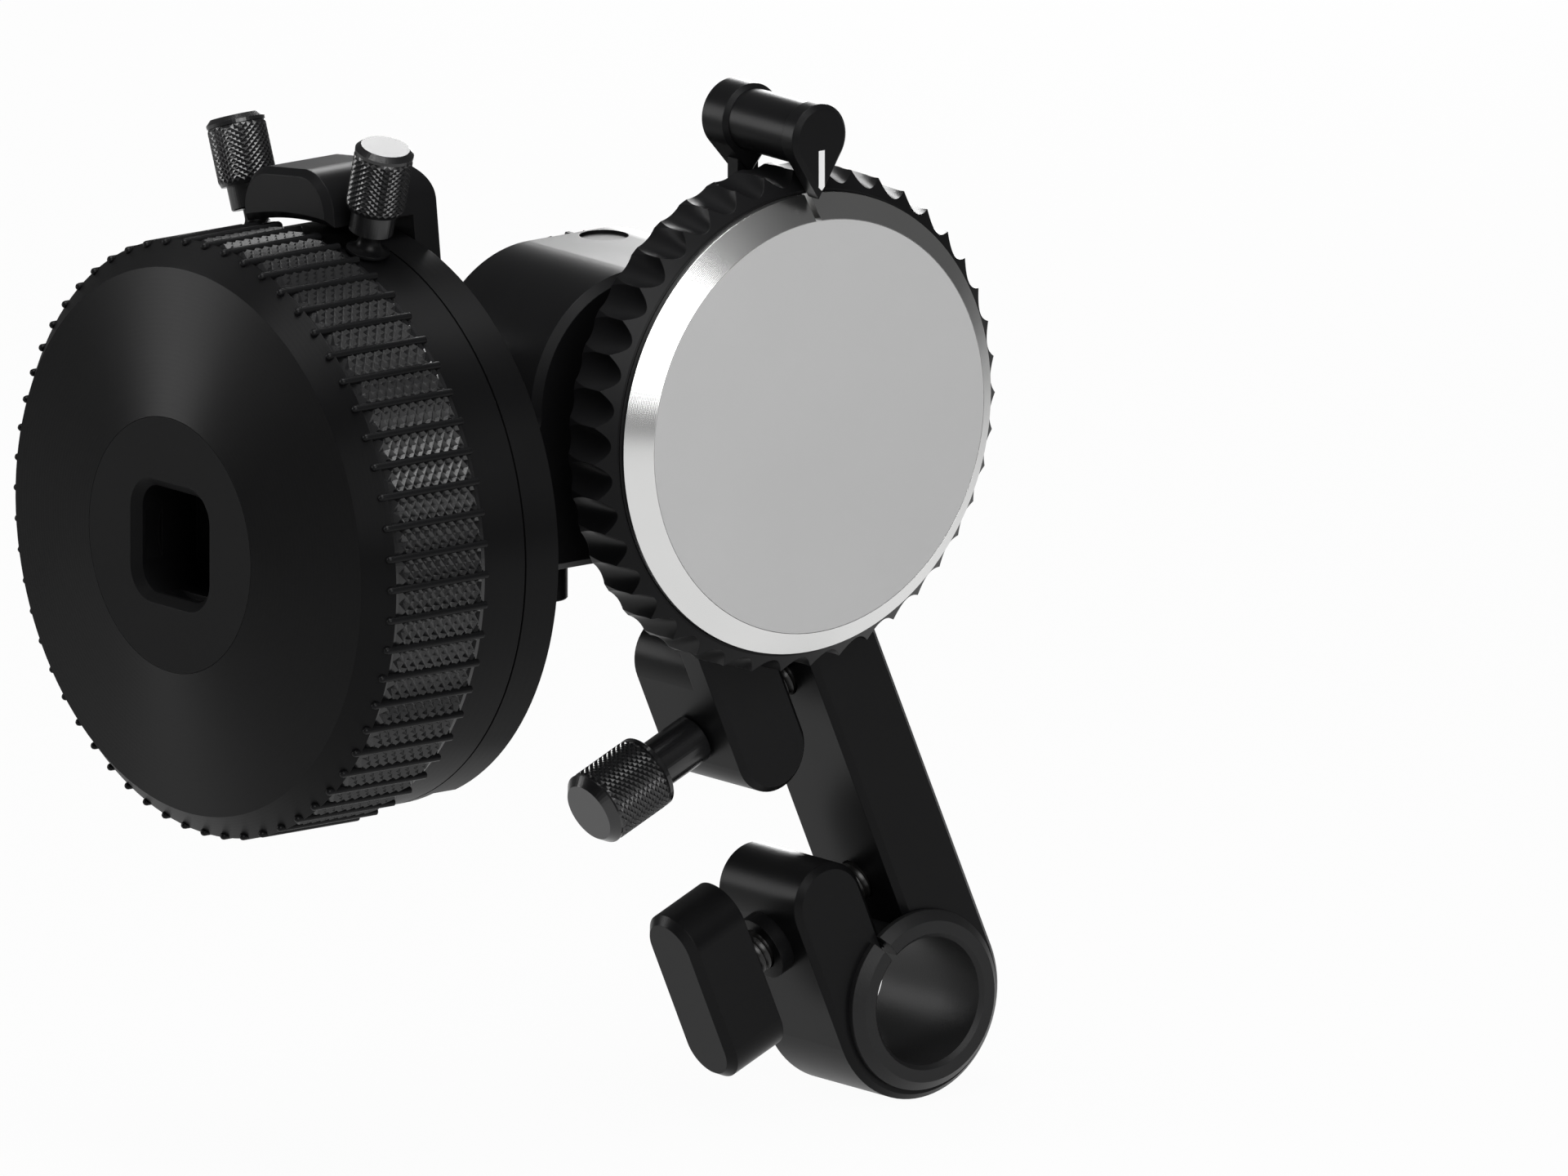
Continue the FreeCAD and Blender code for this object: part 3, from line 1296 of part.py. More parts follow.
def spur_gear(label, module, teeth, width, bore, phase, **where):
    """Spur gear with involute flanks, its axis along Y, one tooth at the phase angle."""
    count = int(round(value_of(teeth)))
    pitch_r = value_of(module) * count / 2
    tip_r = pitch_r + value_of(module)
    root_r = pitch_r - 1.25 * value_of(module)
    pressure = math.radians(value_of(d.gear_pressure))
    base_r = pitch_r * math.cos(pressure)
    half_pitch = math.pi / (2 * count) - value_of(d.gear_play) / (2 * pitch_r)
    flank_steps = 4
    radii = [root_r + (tip_r - root_r) * step / flank_steps for step in range(flank_steps + 1)]
    corners = []
    for tooth in range(count):
        middle = math.radians(phase) + 2 * math.pi * tooth / count
        lean = [half_pitch + involute(pitch_r, base_r) - involute(r, base_r) for r in radii]
        rising = [(r, middle - angle) for r, angle in zip(radii, lean)]
        falling = [(r, middle + angle) for r, angle in zip(reversed(radii), reversed(lean))]
        corners += [V(r * math.cos(a), 0, r * math.sin(a)) for r, a in rising + falling]
    blank = Part.Face(Part.makePolygon(corners + corners[:1])).extrude(V(0, value_of(width), 0))
    hole = Part.makeCylinder(value_of(bore), value_of(width), V(0, 0, 0), V(0, 1, 0))
    item = doc.addObject("Part::Feature", label)
    item.Shape = blank.cut(hole)
    place(item, **where)
    return named(item, label)


def spur_gears():
    """The inner pair in mesh, and the gear that drives the lens."""
    spur_y = chamber_front + d.spur_set
    spur_gear("lay_spur_gear", d.spur_module, d.spur_teeth, d.spur_t, d.lay_r + d.seat_fit,
              90.0, x=axis_x, y=spur_y, z=wheel_z)
    half_tooth = 180.0 / value_of(d.spur_teeth)
    spur_gear("drive_spur_gear", d.spur_module, d.spur_teeth, d.spur_t, d.shaft_r + d.seat_fit,
              half_tooth - 90.0, x=axis_x, y=spur_y, z=dial_z)
    spur_gear("drive_gear", d.drive_module, d.drive_teeth, d.drive_t, d.shaft_r + d.seat_fit,
              90.0, x=axis_x, y=drive_from, z=dial_z)


def lay_shaft():
    """Short shaft between the bevel pair and the spur pair."""
    front = chamber_front - d.bush_small_t
    length = cover_front + d.bush_small_t - front
    named(rod(d.lay_r, length, (axis_x, front, wheel_z), "+y"), "lay_shaft")


def drive_shaft():
    """Through shaft that carries the dial in front and the drive gear behind."""
    body = new_body("drive_shaft", **dial_place)
    front = d.dial_back - d.dial_shaft_in
    shoulder = body_back + d.shoulder_gap
    end = drive_from + d.drive_t
    bore_end = end - d.drive_screw_in - d.bore_over
    turned(body, "YZ_Plane", "H_Axis", (
        (front, 0.0),
        (front, d.shaft_r),
        (shoulder, d.shaft_r),
        (shoulder, d.drive_shoulder_r),
        (drive_from, d.drive_shoulder_r),
        (drive_from, d.shaft_r),
        (end, d.shaft_r),
        (end, d.drive_screw_r + d.seat_fit),
        (bore_end, d.drive_screw_r + d.seat_fit),
        (bore_end, 0.0),
    ))


def drive_gear_screw():
    """Screw that holds the drive gear on its shaft."""
    seat = (axis_x, drive_from + d.drive_t, dial_z)
    screw = socket_screw(seat, "-y", d.drive_screw_head_r, d.drive_screw_head_t,
                         d.drive_screw_r, d.drive_screw_in)
    named(screw, "drive_gear_screw")


# ---- marking dial and pointer ----

def dial_hub():
    """Disc that carries grip ring, bevel ring and marking plate."""
    body = new_body("dial_hub", **dial_place)
    nose = d.dial_front - d.bevel_ring_side - d.bevel_ring_rise + d.marking_t
    turned(body, "YZ_Plane", "H_Axis", (
        (nose, 0.0),
        (nose, d.plate_seat_r - d.run_fit),
        (d.dial_front, d.plate_seat_r - d.run_fit),
        (d.dial_front, d.dial_in_r - d.run_fit),
        (d.dial_back, d.dial_in_r - d.run_fit),
        (d.dial_back, d.dial_boss_r),
        (d.dial_back + d.dial_boss_t, d.dial_boss_r),
        (d.dial_back + d.dial_boss_t, d.shaft_r + d.seat_fit),
        (d.dial_back - d.dial_shaft_in, d.shaft_r + d.seat_fit),
        (d.dial_back - d.dial_shaft_in, 0.0),
    ))


def dial_grip_ring():
    """Grip ring with a coned front and flutes that run out towards its rear face."""
    body = new_body("dial_grip_ring", **dial_place, axis=V(0, 1, 0), angle=-d.dial_turn)
    lip_front = d.dial_front - d.dial_cone
    flute_slope = sine(d.flute_half_angle) / cosine(d.flute_half_angle)
    turned(body, "YZ_Plane", "H_Axis", (
        (d.dial_front, d.dial_in_r),
        (d.dial_front, d.bevel_ring_r + d.run_fit),
        (lip_front, d.bevel_ring_r + d.run_fit),
        (lip_front, d.dial_lip_r),
        (d.dial_front, d.dial_crest_r),
        (d.dial_back, d.dial_crest_r),
        (d.dial_back, d.dial_in_r),
    ))
    flute = turned(body, "YZ_Plane", "H_Axis", (
        (0.0, 0.0),
        (d.flute_len, 0.0),
        (d.flute_len, d.flute_len * flute_slope),
    ), cut=True, right=d.flute_y, up=d.flute_z, turn=d.flute_tilt)
    ring_of(body, flute, "Y_Axis", d.dial_scallops)


def dial_bevel_ring():
    """Bevel ring round the marking plate, with the index notch at the top."""
    body = new_body("dial_bevel_ring", **dial_place)
    front = d.dial_front - d.bevel_ring_side - d.bevel_ring_rise
    turned(body, "YZ_Plane", "H_Axis", (
        (d.dial_front, d.plate_seat_r),
        (d.dial_front, d.bevel_ring_r),
        (d.dial_front - d.bevel_ring_side, d.bevel_ring_r),
        (front, d.plate_r + d.run_fit),
        (front + d.marking_t, d.plate_r + d.run_fit),
        (front + d.marking_t, d.plate_seat_r),
    ))
    half = d.notch_w / 2
    notch = outline(
        sketch_on(body, "XZ_Plane", lift=-front),
        (-half, d.plate_r - 0.5),
        (half, d.plate_r - 0.5),
        (half, d.bevel_ring_r + 1),
        (-half, d.bevel_ring_r + 1),
    )
    pocket(body, notch, d.notch_deep)


def marking_plate():
    """Write-on disc in the middle of the dial."""
    front = d.dial_front - d.bevel_ring_side - d.bevel_ring_rise
    named(rod(d.plate_r, d.marking_t, (axis_x, front, dial_z), "+y"), "marking_plate")


def pointer_bracket():
    """Ring on the gearbox's front, with a stay up to the lobe of the pointer's post."""
    body = new_body("pointer_bracket", x=axis_x, z=dial_z)
    lobe = teardrop(sketch_on(body, "XZ_Plane", lift=-d.lobe_back, up=d.pointer_up),
                    d.lobe_r, d.lobe_tip)
    blank = pad(body, lobe, d.lobe_back - d.lobe_front)
    dress(body, "Chamfer", blank, edges_at(blank, "Y", d.lobe_front), d.lobe_edge)
    half = d.stay_w / 2
    stay = outline(
        sketch_on(body, "XZ_Plane", lift=-d.stay_back),
        (-half, d.anchor_hole_r),
        (half, d.anchor_hole_r),
        (half, d.pointer_up),
        (-half, d.pointer_up),
    )
    pad(body, stay, d.stay_back - d.stay_front)
    front = d.body_front - d.anchor_t
    anchor = circle(sketch_on(body, "XZ_Plane", lift=-d.body_front), 0.0, 0.0, d.anchor_r)
    pad(body, anchor, d.anchor_t)
    hole = circle(sketch_on(body, "XZ_Plane", lift=-front), 0.0, 0.0, d.anchor_hole_r)
    pocket(body, hole, d.anchor_t)
    sinks = sketch_on(body, "XZ_Plane", lift=-front)
    holes = sketch_on(body, "XZ_Plane", lift=-front)
    for side in (-1, 1):
        circle(sinks, side * d.anchor_screw_x, 0.0, d.m2_head_r + d.run_fit)
        circle(holes, side * d.anchor_screw_x, 0.0, d.m2_r + d.run_fit)
    pocket(body, sinks, d.anchor_sink)
    pocket(body, holes, d.anchor_t)


def pointer_screws():
    """Two screws that hold the pointer's bracket."""
    seat_y = d.body_front - d.anchor_t + d.anchor_sink
    length = d.anchor_t - d.anchor_sink + d.anchor_screw_in
    group([
        socket_screw((axis_x + side * d.anchor_screw_x, seat_y, dial_z), "+y",
                     d.m2_head_r, d.m2_head_t, d.m2_r, length)
        for side in (-1, 1)
    ], "pointer_screws")


def pointer_post():
    """Post that holds the pointer over the dial's rim."""
    tip = d.pointer_face + d.pointer_t
    seat = (axis_x, tip, pointer_z)
    named(rod(d.post_r, d.lobe_front - tip, seat, "+y"), "pointer_post")


def teardrop(sketch, radius, tip):
    """Round outline with two tangents that meet at a tip below it."""
    touch_z = radius * radius / tip
    touch_x = root(radius * radius - touch_z * touch_z)
    return outline(
        sketch,
        (0.0, -tip),
        (touch_x, -touch_z),
        arc_to((0.0, 0.0), (-touch_x, -touch_z)),
    )


def pointer_head():
    """Teardrop pointer with a groove for its inlaid line."""
    body = new_body("pointer_head", x=axis_x, z=pointer_z)
    back = d.pointer_face + d.pointer_t
    head = teardrop(sketch_on(body, "XZ_Plane", lift=-back), d.pointer_r, d.pointer_tip)
    blank = pad(body, head, d.pointer_t)
    dress(body, "Chamfer", blank, edges_at(blank, "Y", d.pointer_face), d.pointer_edge)
    groove = line_outline(sketch_on(body, "XZ_Plane", lift=-d.pointer_face))
    pocket(body, groove, d.line_t)


def line_outline(sketch):
    """Outline of the inlaid line, pointed at its lower end."""
    half = d.line_w / 2
    return outline(
        sketch,
        (-half, half - d.line_to),
        (0.0, -d.line_to),
        (half, half - d.line_to),
        (half, -d.line_from),
        (-half, -d.line_from),
    )


def pointer_line():
    """Light line inlaid in the pointer."""
    body = new_body("pointer_line", x=axis_x, z=pointer_z)
    pad(body, line_outline(sketch_on(body, "XZ_Plane", lift=-d.pointer_face)), d.line_t, back=True)


def build():
    clamp_arm()
    rod_bush()
    rod_clamp_washer()
    rod_wing_knob()
    rod_clamp_screw()
    arm_thumbscrew()
    gearbox_body()
    gearbox_cover()
    cover_screws()
    top_cap()
    clamp_stub()
    stub_screws()
    release_pin()
    bearings()
    stop_bracket()
    wheel_flange()
    neck_screws()
    lens_stop("stop_a", -d.stop_a_angle)
    lens_stop("stop_b", d.stop_b_angle)
    wheel_hub_plate()
    wheel_face()
    wheel_drum()
    wheel_grip()
    stop_ring()
    wheel_shaft()
    hub_screws()
    bevel_gear("wheel_bevel_gear", "XZ_Plane", -1, "X_Axis", "YZ_Plane")
    bevel_gear("lay_bevel_gear", "YZ_Plane", 1, "Y_Axis", "XZ_Plane")
    spur_gears()
    lay_shaft()
    drive_shaft()
    drive_gear_screw()
    dial_hub()
    dial_grip_ring()
    dial_bevel_ring()
    marking_plate()
    pointer_bracket()
    pointer_screws()
    pointer_post()
    pointer_head()
    pointer_line()
    doc.recompute()


def check():
    """Stop if any object failed or any sub-part has no sound solid."""
    for item in doc.Objects:
        if {"Invalid", "Error"} & set(item.State):
            raise RuntimeError("%s (%s) failed: %s" % (item.Name, item.Label, item.State))
    for item in parts:
        shape = item.Shape
        if shape.isNull() or not shape.isValid() or not shape.Solids:
            raise RuntimeError("%s has no sound solid" % item.Label)


def write():
    os.makedirs("parts", exist_ok=True)
    for item in parts:
        item.Shape.exportStep("parts/%s.step" % item.Label)
        print("%-18s solids %d  volume %9.2f" % (item.Label, len(item.Shape.Solids),
                                                 item.Shape.Volume))


build()
check()
write()
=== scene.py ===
import math

import bpy
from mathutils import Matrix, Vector


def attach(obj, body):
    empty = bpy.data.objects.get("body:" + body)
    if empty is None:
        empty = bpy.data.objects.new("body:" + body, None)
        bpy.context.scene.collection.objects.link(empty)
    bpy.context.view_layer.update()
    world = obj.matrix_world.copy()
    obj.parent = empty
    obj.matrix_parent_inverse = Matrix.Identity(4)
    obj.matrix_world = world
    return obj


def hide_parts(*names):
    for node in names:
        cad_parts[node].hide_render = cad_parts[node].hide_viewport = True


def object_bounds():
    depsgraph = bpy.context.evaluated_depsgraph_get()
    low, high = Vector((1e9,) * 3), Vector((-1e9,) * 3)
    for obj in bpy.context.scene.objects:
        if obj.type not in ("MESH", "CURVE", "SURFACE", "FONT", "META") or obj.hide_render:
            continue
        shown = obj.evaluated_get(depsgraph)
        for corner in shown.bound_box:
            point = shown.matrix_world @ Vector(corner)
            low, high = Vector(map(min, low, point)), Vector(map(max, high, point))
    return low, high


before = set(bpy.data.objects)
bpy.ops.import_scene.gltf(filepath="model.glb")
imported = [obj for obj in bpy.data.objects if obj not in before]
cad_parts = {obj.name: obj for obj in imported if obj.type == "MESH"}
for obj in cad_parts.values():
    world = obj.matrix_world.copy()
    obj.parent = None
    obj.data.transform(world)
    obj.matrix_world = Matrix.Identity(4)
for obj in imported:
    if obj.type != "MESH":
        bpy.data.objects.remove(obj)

cadBox = [list(corner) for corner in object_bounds()]
mm = 0.001
weldReach = 0.004     # vertices closer than this, in millimetres, are merged

# where the turning axes stand, in millimetres
axes = {
    "wheel": {"point": (-99.3, 7.1, 65.17), "along": (1, 0, 0)},
    "dial": {"point": (-25.3, -15.7, 73.67), "along": (0, 1, 0)},
    "pointer": {"point": (-25.3, -20.8, 107.87), "along": (0, 1, 0)},
}


# finishes of the surfaces, their lengths in millimetres
finishes = {
    "anodised": {"colour": (0.0046, 0.0046, 0.0049), "spread": 0.35, "rough": (0.30, 0.40),
                 "specular": 0.10, "grain": 0.16, "grainHeight": 0.006, "edge": 0.12},
    "anodisedDeep": {"colour": (0.0030, 0.0030, 0.0032), "spread": 0.35, "rough": (0.42, 0.50),
                     "specular": 0.07, "grain": 0.16, "grainHeight": 0.006, "edge": 0.10},
    "turned": {"colour": (0.0030, 0.0030, 0.0032), "spread": 0.3, "rough": (0.36, 0.44),
               "specular": 0.09, "grain": 0.2, "grainHeight": 0.003, "pitch": 0.62,
               "grooveHeight": 0.0012, "anisotropic": 0.85, "edge": 0.10},
    "knurled": {"colour": (0.0060, 0.0060, 0.0064), "spread": 0.35, "rough": (0.20, 0.28),
                "specular": 0.55, "grain": 0.12, "grainHeight": 0.004, "edge": 0.0},
    "plastic": {"colour": (0.0090, 0.0090, 0.0093), "spread": 0.3, "rough": (0.42, 0.52),
                "specular": 0.25, "grain": 0.24, "grainHeight": 0.012, "edge": 0.10},
    "oxide": {"colour": (0.0060, 0.0058, 0.0056), "spread": 0.4, "rough": (0.26, 0.36),
              "specular": 0.35, "grain": 0.10, "grainHeight": 0.004, "edge": 0.06},
    "satin": {"colour": (0.68, 0.68, 0.675), "spread": 0.05, "rough": (0.20, 0.25),
              "metallic": 1.0, "grain": 0.18, "grainHeight": 0.002, "pitch": 0.22,
              "grooveHeight": 0.001, "anisotropic": 0.3, "edge": 0.05},
    "blasted": {"colour": (0.43, 0.43, 0.43), "spread": 0.03, "rough": (0.56, 0.64),
                "specular": 0.25, "grain": 0.09, "grainHeight": 0.002, "edge": 0.05},
    "steel": {"colour": (0.48, 0.48, 0.47), "spread": 0.12, "rough": (0.24, 0.34),
              "metallic": 1.0, "grain": 0.2, "grainHeight": 0.002, "pitch": 0.2,
              "grooveHeight": 0.002, "anisotropic": 0.3, "edge": 0.05},
    "bronze": {"colour": (0.42, 0.27, 0.12), "spread": 0.2, "rough": (0.34, 0.46),
               "metallic": 1.0, "grain": 0.12, "grainHeight": 0.004, "edge": 0.05},
    "paint": {"colour": (0.72, 0.72, 0.72), "spread": 0.04, "rough": (0.42, 0.5),
              "specular": 0.4, "grain": 0.1, "grainHeight": 0.002, "edge": 0.02},
}

texture = {
    "cloudScale": 70, "cloudDetail": 4, "grainDetail": 2, "edgeSamples": 4,
    "grooveSlant": 0.62,      # how fast the lathe lines move on along the axis
    "acrossGrooves": 0.25,    # turn of the stretched highlight
}


def addNode(tree, kind, place, **values):
    node = tree.nodes.new(kind)
    node.location = place
    for key, value in values.items():
        setattr(node, key, value)
    return node


def makeFinish(name, about=None):
    # one finish, with its grooves turned about an axis where one is named
    title = name if about is None else name + "_" + about
    if title in bpy.data.materials:
        return bpy.data.materials[title]
    look = finishes[name]
    material = bpy.data.materials.new(title)
    material.use_nodes = True
    tree = material.node_tree
    tree.nodes.clear()
    output = addNode(tree, "ShaderNodeOutputMaterial", (900, 0))
    shader = addNode(tree, "ShaderNodeBsdfPrincipled", (600, 0))
    tree.links.new(shader.outputs["BSDF"], output.inputs["Surface"])
    shader.inputs["Metallic"].default_value = look.get("metallic", 0.0)
    shader.inputs["Specular IOR Level"].default_value = look.get("specular", 0.5)
    coords = addNode(tree, "ShaderNodeTexCoord", (-1300, 0))
    centre = addNode(tree, "ShaderNodeMapping", (-1100, 0))
    point = axes[about]["point"] if about else (0, 0, 0)
    centre.inputs["Location"].default_value = [-value * mm for value in point]
    tree.links.new(coords.outputs["Object"], centre.inputs["Vector"])

    cloud = addNode(tree, "ShaderNodeTexNoise", (-800, 250))    # broad uneven tone
    cloud.inputs["Scale"].default_value = texture["cloudScale"]
    cloud.inputs["Detail"].default_value = texture["cloudDetail"]
    tree.links.new(centre.outputs["Vector"], cloud.inputs["Vector"])
    tone = addNode(tree, "ShaderNodeMapRange", (-550, 250))
    tone.inputs["To Min"].default_value = 1 - look["spread"]
    tone.inputs["To Max"].default_value = 1 + look["spread"]
    tree.links.new(cloud.outputs["Fac"], tone.inputs["Value"])
    tint = addNode(tree, "ShaderNodeVectorMath", (-300, 250), operation="SCALE")
    tint.inputs[0].default_value = look["colour"]
    tree.links.new(tone.outputs["Result"], tint.inputs["Scale"])
    tree.links.new(tint.outputs["Vector"], shader.inputs["Base Color"])
    rough = addNode(tree, "ShaderNodeMapRange", (-300, 0))
    rough.inputs["To Min"].default_value = look["rough"][0]
    rough.inputs["To Max"].default_value = look["rough"][1]
    tree.links.new(cloud.outputs["Fac"], rough.inputs["Value"])
    tree.links.new(rough.outputs["Result"], shader.inputs["Roughness"])

    grain = addNode(tree, "ShaderNodeTexNoise", (-800, -250))    # fine blasted or moulded grain
    grain.inputs["Scale"].default_value = 1 / (look["grain"] * mm)
    grain.inputs["Detail"].default_value = texture["grainDetail"]
    tree.links.new(centre.outputs["Vector"], grain.inputs["Vector"])
    bump = addNode(tree, "ShaderNodeBump", (150, -350))
    bump.inputs["Distance"].default_value = look["grainHeight"] * mm
    tree.links.new(grain.outputs["Fac"], bump.inputs["Height"])
    if look["edge"]:
        edge = addNode(tree, "ShaderNodeBevel", (-50, -500), samples=texture["edgeSamples"])
        edge.inputs["Radius"].default_value = look["edge"] * mm
        tree.links.new(edge.outputs["Normal"], bump.inputs["Normal"])
    surface = bump
    if about and "pitch" in look:
        surface = addGrooves(tree, look, axes[about]["along"], centre, bump)
        shader.inputs["Anisotropic"].default_value = look["anisotropic"]
        shader.inputs["Anisotropic Rotation"].default_value = texture["acrossGrooves"]
        ring = addNode(tree, "ShaderNodeTangent", (350, -650), direction_type="RADIAL")
        ring.axis = "XYZ"[axes[about]["along"].index(1)]
        tree.links.new(ring.outputs["Tangent"], shader.inputs["Tangent"])
    tree.links.new(surface.outputs["Normal"], shader.inputs["Normal"])
    return material


def addGrooves(tree, look, along, centre, before):
    # fine lathe lines that follow the radius and the length together
    split = addNode(tree, "ShaderNodeSeparateXYZ", (-800, -600))
    tree.links.new(centre.outputs["Vector"], split.inputs["Vector"])
    letters = "XYZ"
    main = letters[along.index(1)]
    others = [letter for letter in letters if letter != main]
    flat = addNode(tree, "ShaderNodeCombineXYZ", (-600, -600))
    for letter in others:
        tree.links.new(split.outputs[letter], flat.inputs[letter])
    radius = addNode(tree, "ShaderNodeVectorMath", (-400, -600), operation="LENGTH")
    tree.links.new(flat.outputs["Vector"], radius.inputs[0])
    travel = addNode(tree, "ShaderNodeMath", (-200, -700), operation="MULTIPLY_ADD")
    travel.inputs[1].default_value = texture["grooveSlant"]
    tree.links.new(split.outputs[main], travel.inputs[0])
    tree.links.new(radius.outputs["Value"], travel.inputs[2])
    count = addNode(tree, "ShaderNodeMath", (0, -700), operation="MULTIPLY")
    count.inputs[1].default_value = 2 * math.pi / (look["pitch"] * mm)
    tree.links.new(travel.outputs["Value"], count.inputs[0])
    wave = addNode(tree, "ShaderNodeMath", (150, -700), operation="SINE")
    tree.links.new(count.outputs["Value"], wave.inputs[0])
    lines = addNode(tree, "ShaderNodeBump", (350, -400))
    lines.inputs["Distance"].default_value = look["grooveHeight"] * mm
    tree.links.new(wave.outputs["Value"], lines.inputs["Height"])
    tree.links.new(before.outputs["Normal"], lines.inputs["Normal"])
    return lines


dressing = {
    ("anodised", None): ["clamp_arm", "rod_wing_knob", "gearbox_body", "top_cap", "clamp_stub",
                         "stop_bracket", "stop_a_foot", "stop_b_foot", "pointer_bracket",
                         "release_pin", "pointer_head", "rod_clamp_washer"],
    ("anodisedDeep", None): ["gearbox_cover"],
    ("turned", "wheel"): ["wheel_face", "wheel_drum", "stop_ring", "wheel_flange"],
    ("anodisedDeep", "wheel"): ["wheel_hub_plate"],
    ("anodised", "dial"): ["dial_grip_ring", "dial_hub"],
    ("anodised", "pointer"): ["pointer_post"],
    ("knurled", None): ["stop_a_knob", "stop_b_knob", "arm_thumbscrew", "wheel_grip"],
    ("plastic", None): ["rod_bush", "drive_gear"],
    ("oxide", None): ["cover_screws", "stub_screws", "neck_screws", "hub_screws",
                      "drive_gear_screw", "pointer_screws", "rod_clamp_screw"],
    ("satin", "dial"): ["dial_bevel_ring"],
    ("blasted", None): ["marking_plate"],
    ("steel", "wheel"): ["wheel_bearings", "wheel_shaft", "wheel_bevel_gear"],
    ("steel", "dial"): ["drive_bearings", "drive_shaft", "drive_spur_gear"],
    ("steel", None): ["lay_shaft", "lay_bevel_gear", "lay_spur_gear"],
    ("bronze", None): ["lay_bushes"],
    ("paint", None): ["pointer_line"],
}


def dressNodes():
    for (name, about), nodes in dressing.items():
        material = makeFinish(name, about)
        for node in nodes:
            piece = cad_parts[node]
            piece.data.materials.clear()
            piece.data.materials.append(material)
    print("finishes:", sum(len(nodes) for nodes in dressing.values()), "nodes of",
          len(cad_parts))


def startPoint(name, place):
    # a new object that holds one vertex, ready to be drawn along a profile
    bpy.ops.object.select_all(action="DESELECT")
    bpy.ops.mesh.primitive_plane_add(size=mm)
    piece = bpy.context.object
    piece.name = name
    bpy.ops.object.mode_set(mode="EDIT")
    bpy.ops.mesh.select_mode(type="VERT")
    bpy.ops.mesh.select_all(action="SELECT")
    bpy.ops.mesh.merge(type="CENTER")
    bpy.ops.transform.translate(value=place)
    return piece


def drawProfile(points):
    for before, after in zip(points, points[1:]):
        bpy.ops.mesh.extrude_vertices_move(TRANSFORM_OT_translate={"value": after - before})


def sideways(along):
    # square to the axis, and upright where the axis allows
    side = along.orthogonal().normalized() if abs(along.z) > 0.5 else Vector((0, 0, 1))
    return (side - along * side.dot(along)).normalized()


def weldAll():
    bpy.ops.mesh.select_all(action="SELECT")
    bpy.ops.mesh.remove_doubles(threshold=weldReach * mm)
    bpy.ops.mesh.normals_make_consistent(inside=False)


def turnPiece(name, origin, along, profile, steps, closed=True):
    # profile: places along the axis and radii, in millimetres
    along = Vector(along).normalized()
    outward = sideways(along)
    origin = Vector(origin)
    points = [(origin + along * far + outward * radius) * mm for far, radius in profile]
    if closed:
        points.append(points[0])
    piece = startPoint(name, points[0])
    drawProfile(points)
    bpy.ops.mesh.select_all(action="SELECT")
    bpy.ops.mesh.spin(steps=steps, angle=2 * math.pi, center=origin * mm, axis=along)
    weldAll()
    bpy.ops.object.mode_set(mode="OBJECT")
    bpy.ops.object.transform_apply(location=True, rotation=True, scale=True)
    return piece


def ringPlace(point, origin, along):
    # along the axis, radius and angle of a point, in millimetres and degrees
    along = Vector(along).normalized()
    start = sideways(along)
    offset = point / mm - Vector(origin)
    far = offset.dot(along)
    flat = offset - along * far
    angle = math.degrees(math.atan2(flat.dot(along.cross(start)), flat.dot(start)))
    return far, flat.length, angle % 360


knurlReach = 0.05                      # how far off its radius a knurl vertex may lie
knurlRim = {"gap": 0.05, "in": 0.02}   # smooth rim beside a knurl


def raiseKnurl(piece, origin, along, knurl, steps):
    # every second vertex of the band is raised, so that ridges cross in diamonds
    bpy.ops.object.mode_set(mode="EDIT")
    bpy.ops.mesh.select_mode(type="VERT")
    bpy.ops.mesh.select_all(action="DESELECT")
    bpy.ops.object.mode_set(mode="OBJECT")
    picked = 0
    for vertex in piece.data.vertices:
        far, radius, angle = ringPlace(vertex.co, origin, along)
        row = (far - knurl["start"]) / knurl["row"]
        column = angle / (360 / steps)
        inBand = 0.5 < row < knurl["rows"] - 0.5 and radius > knurl["radius"] - knurlReach
        vertex.select = inBand and (round(row) + round(column)) % 2 == 0
        picked += vertex.select
    bpy.ops.object.mode_set(mode="EDIT")
    bpy.ops.transform.shrink_fatten(value=knurl["raise"] * mm)
    bpy.ops.mesh.select_all(action="SELECT")
    bpy.ops.mesh.quads_convert_to_tris(quad_method="LONGEST_DIAGONAL")
    bpy.ops.object.mode_set(mode="OBJECT")
    return picked


def knurlRows(knurl):
    return [(knurl["start"] + knurl["row"] * index, knurl["radius"])
            for index in range(knurl["rows"] + 1)]


def finishPiece(piece, body, material, smooth=None):
    bpy.ops.object.select_all(action="DESELECT")
    piece.select_set(True)
    bpy.context.view_layer.objects.active = piece
    if smooth:
        bpy.ops.object.shade_smooth_by_angle(angle=math.radians(smooth))
    piece.data.materials.clear()
    piece.data.materials.append(material)
    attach(piece, body)


# grip of the hand wheel
gripSleeve = {
    "front": 5.6, "back": 19.25,      # from the hub's face
    "innerRadius": 33.25,
    "steps": 240,
    "knurl": {"start": 6.55, "row": 0.645, "rows": 19, "radius": 34.25, "raise": 0.6},
}
gripRibs = {
    "count": 60, "radius": 0.45, "centre": 34.7,
    "front": 4.6, "back": 19.25, "dome": 0.45, "domeAngles": (0, 30, 60, 90),
    "endEdge": 0.1, "steps": 12, "smooth": 40,
}


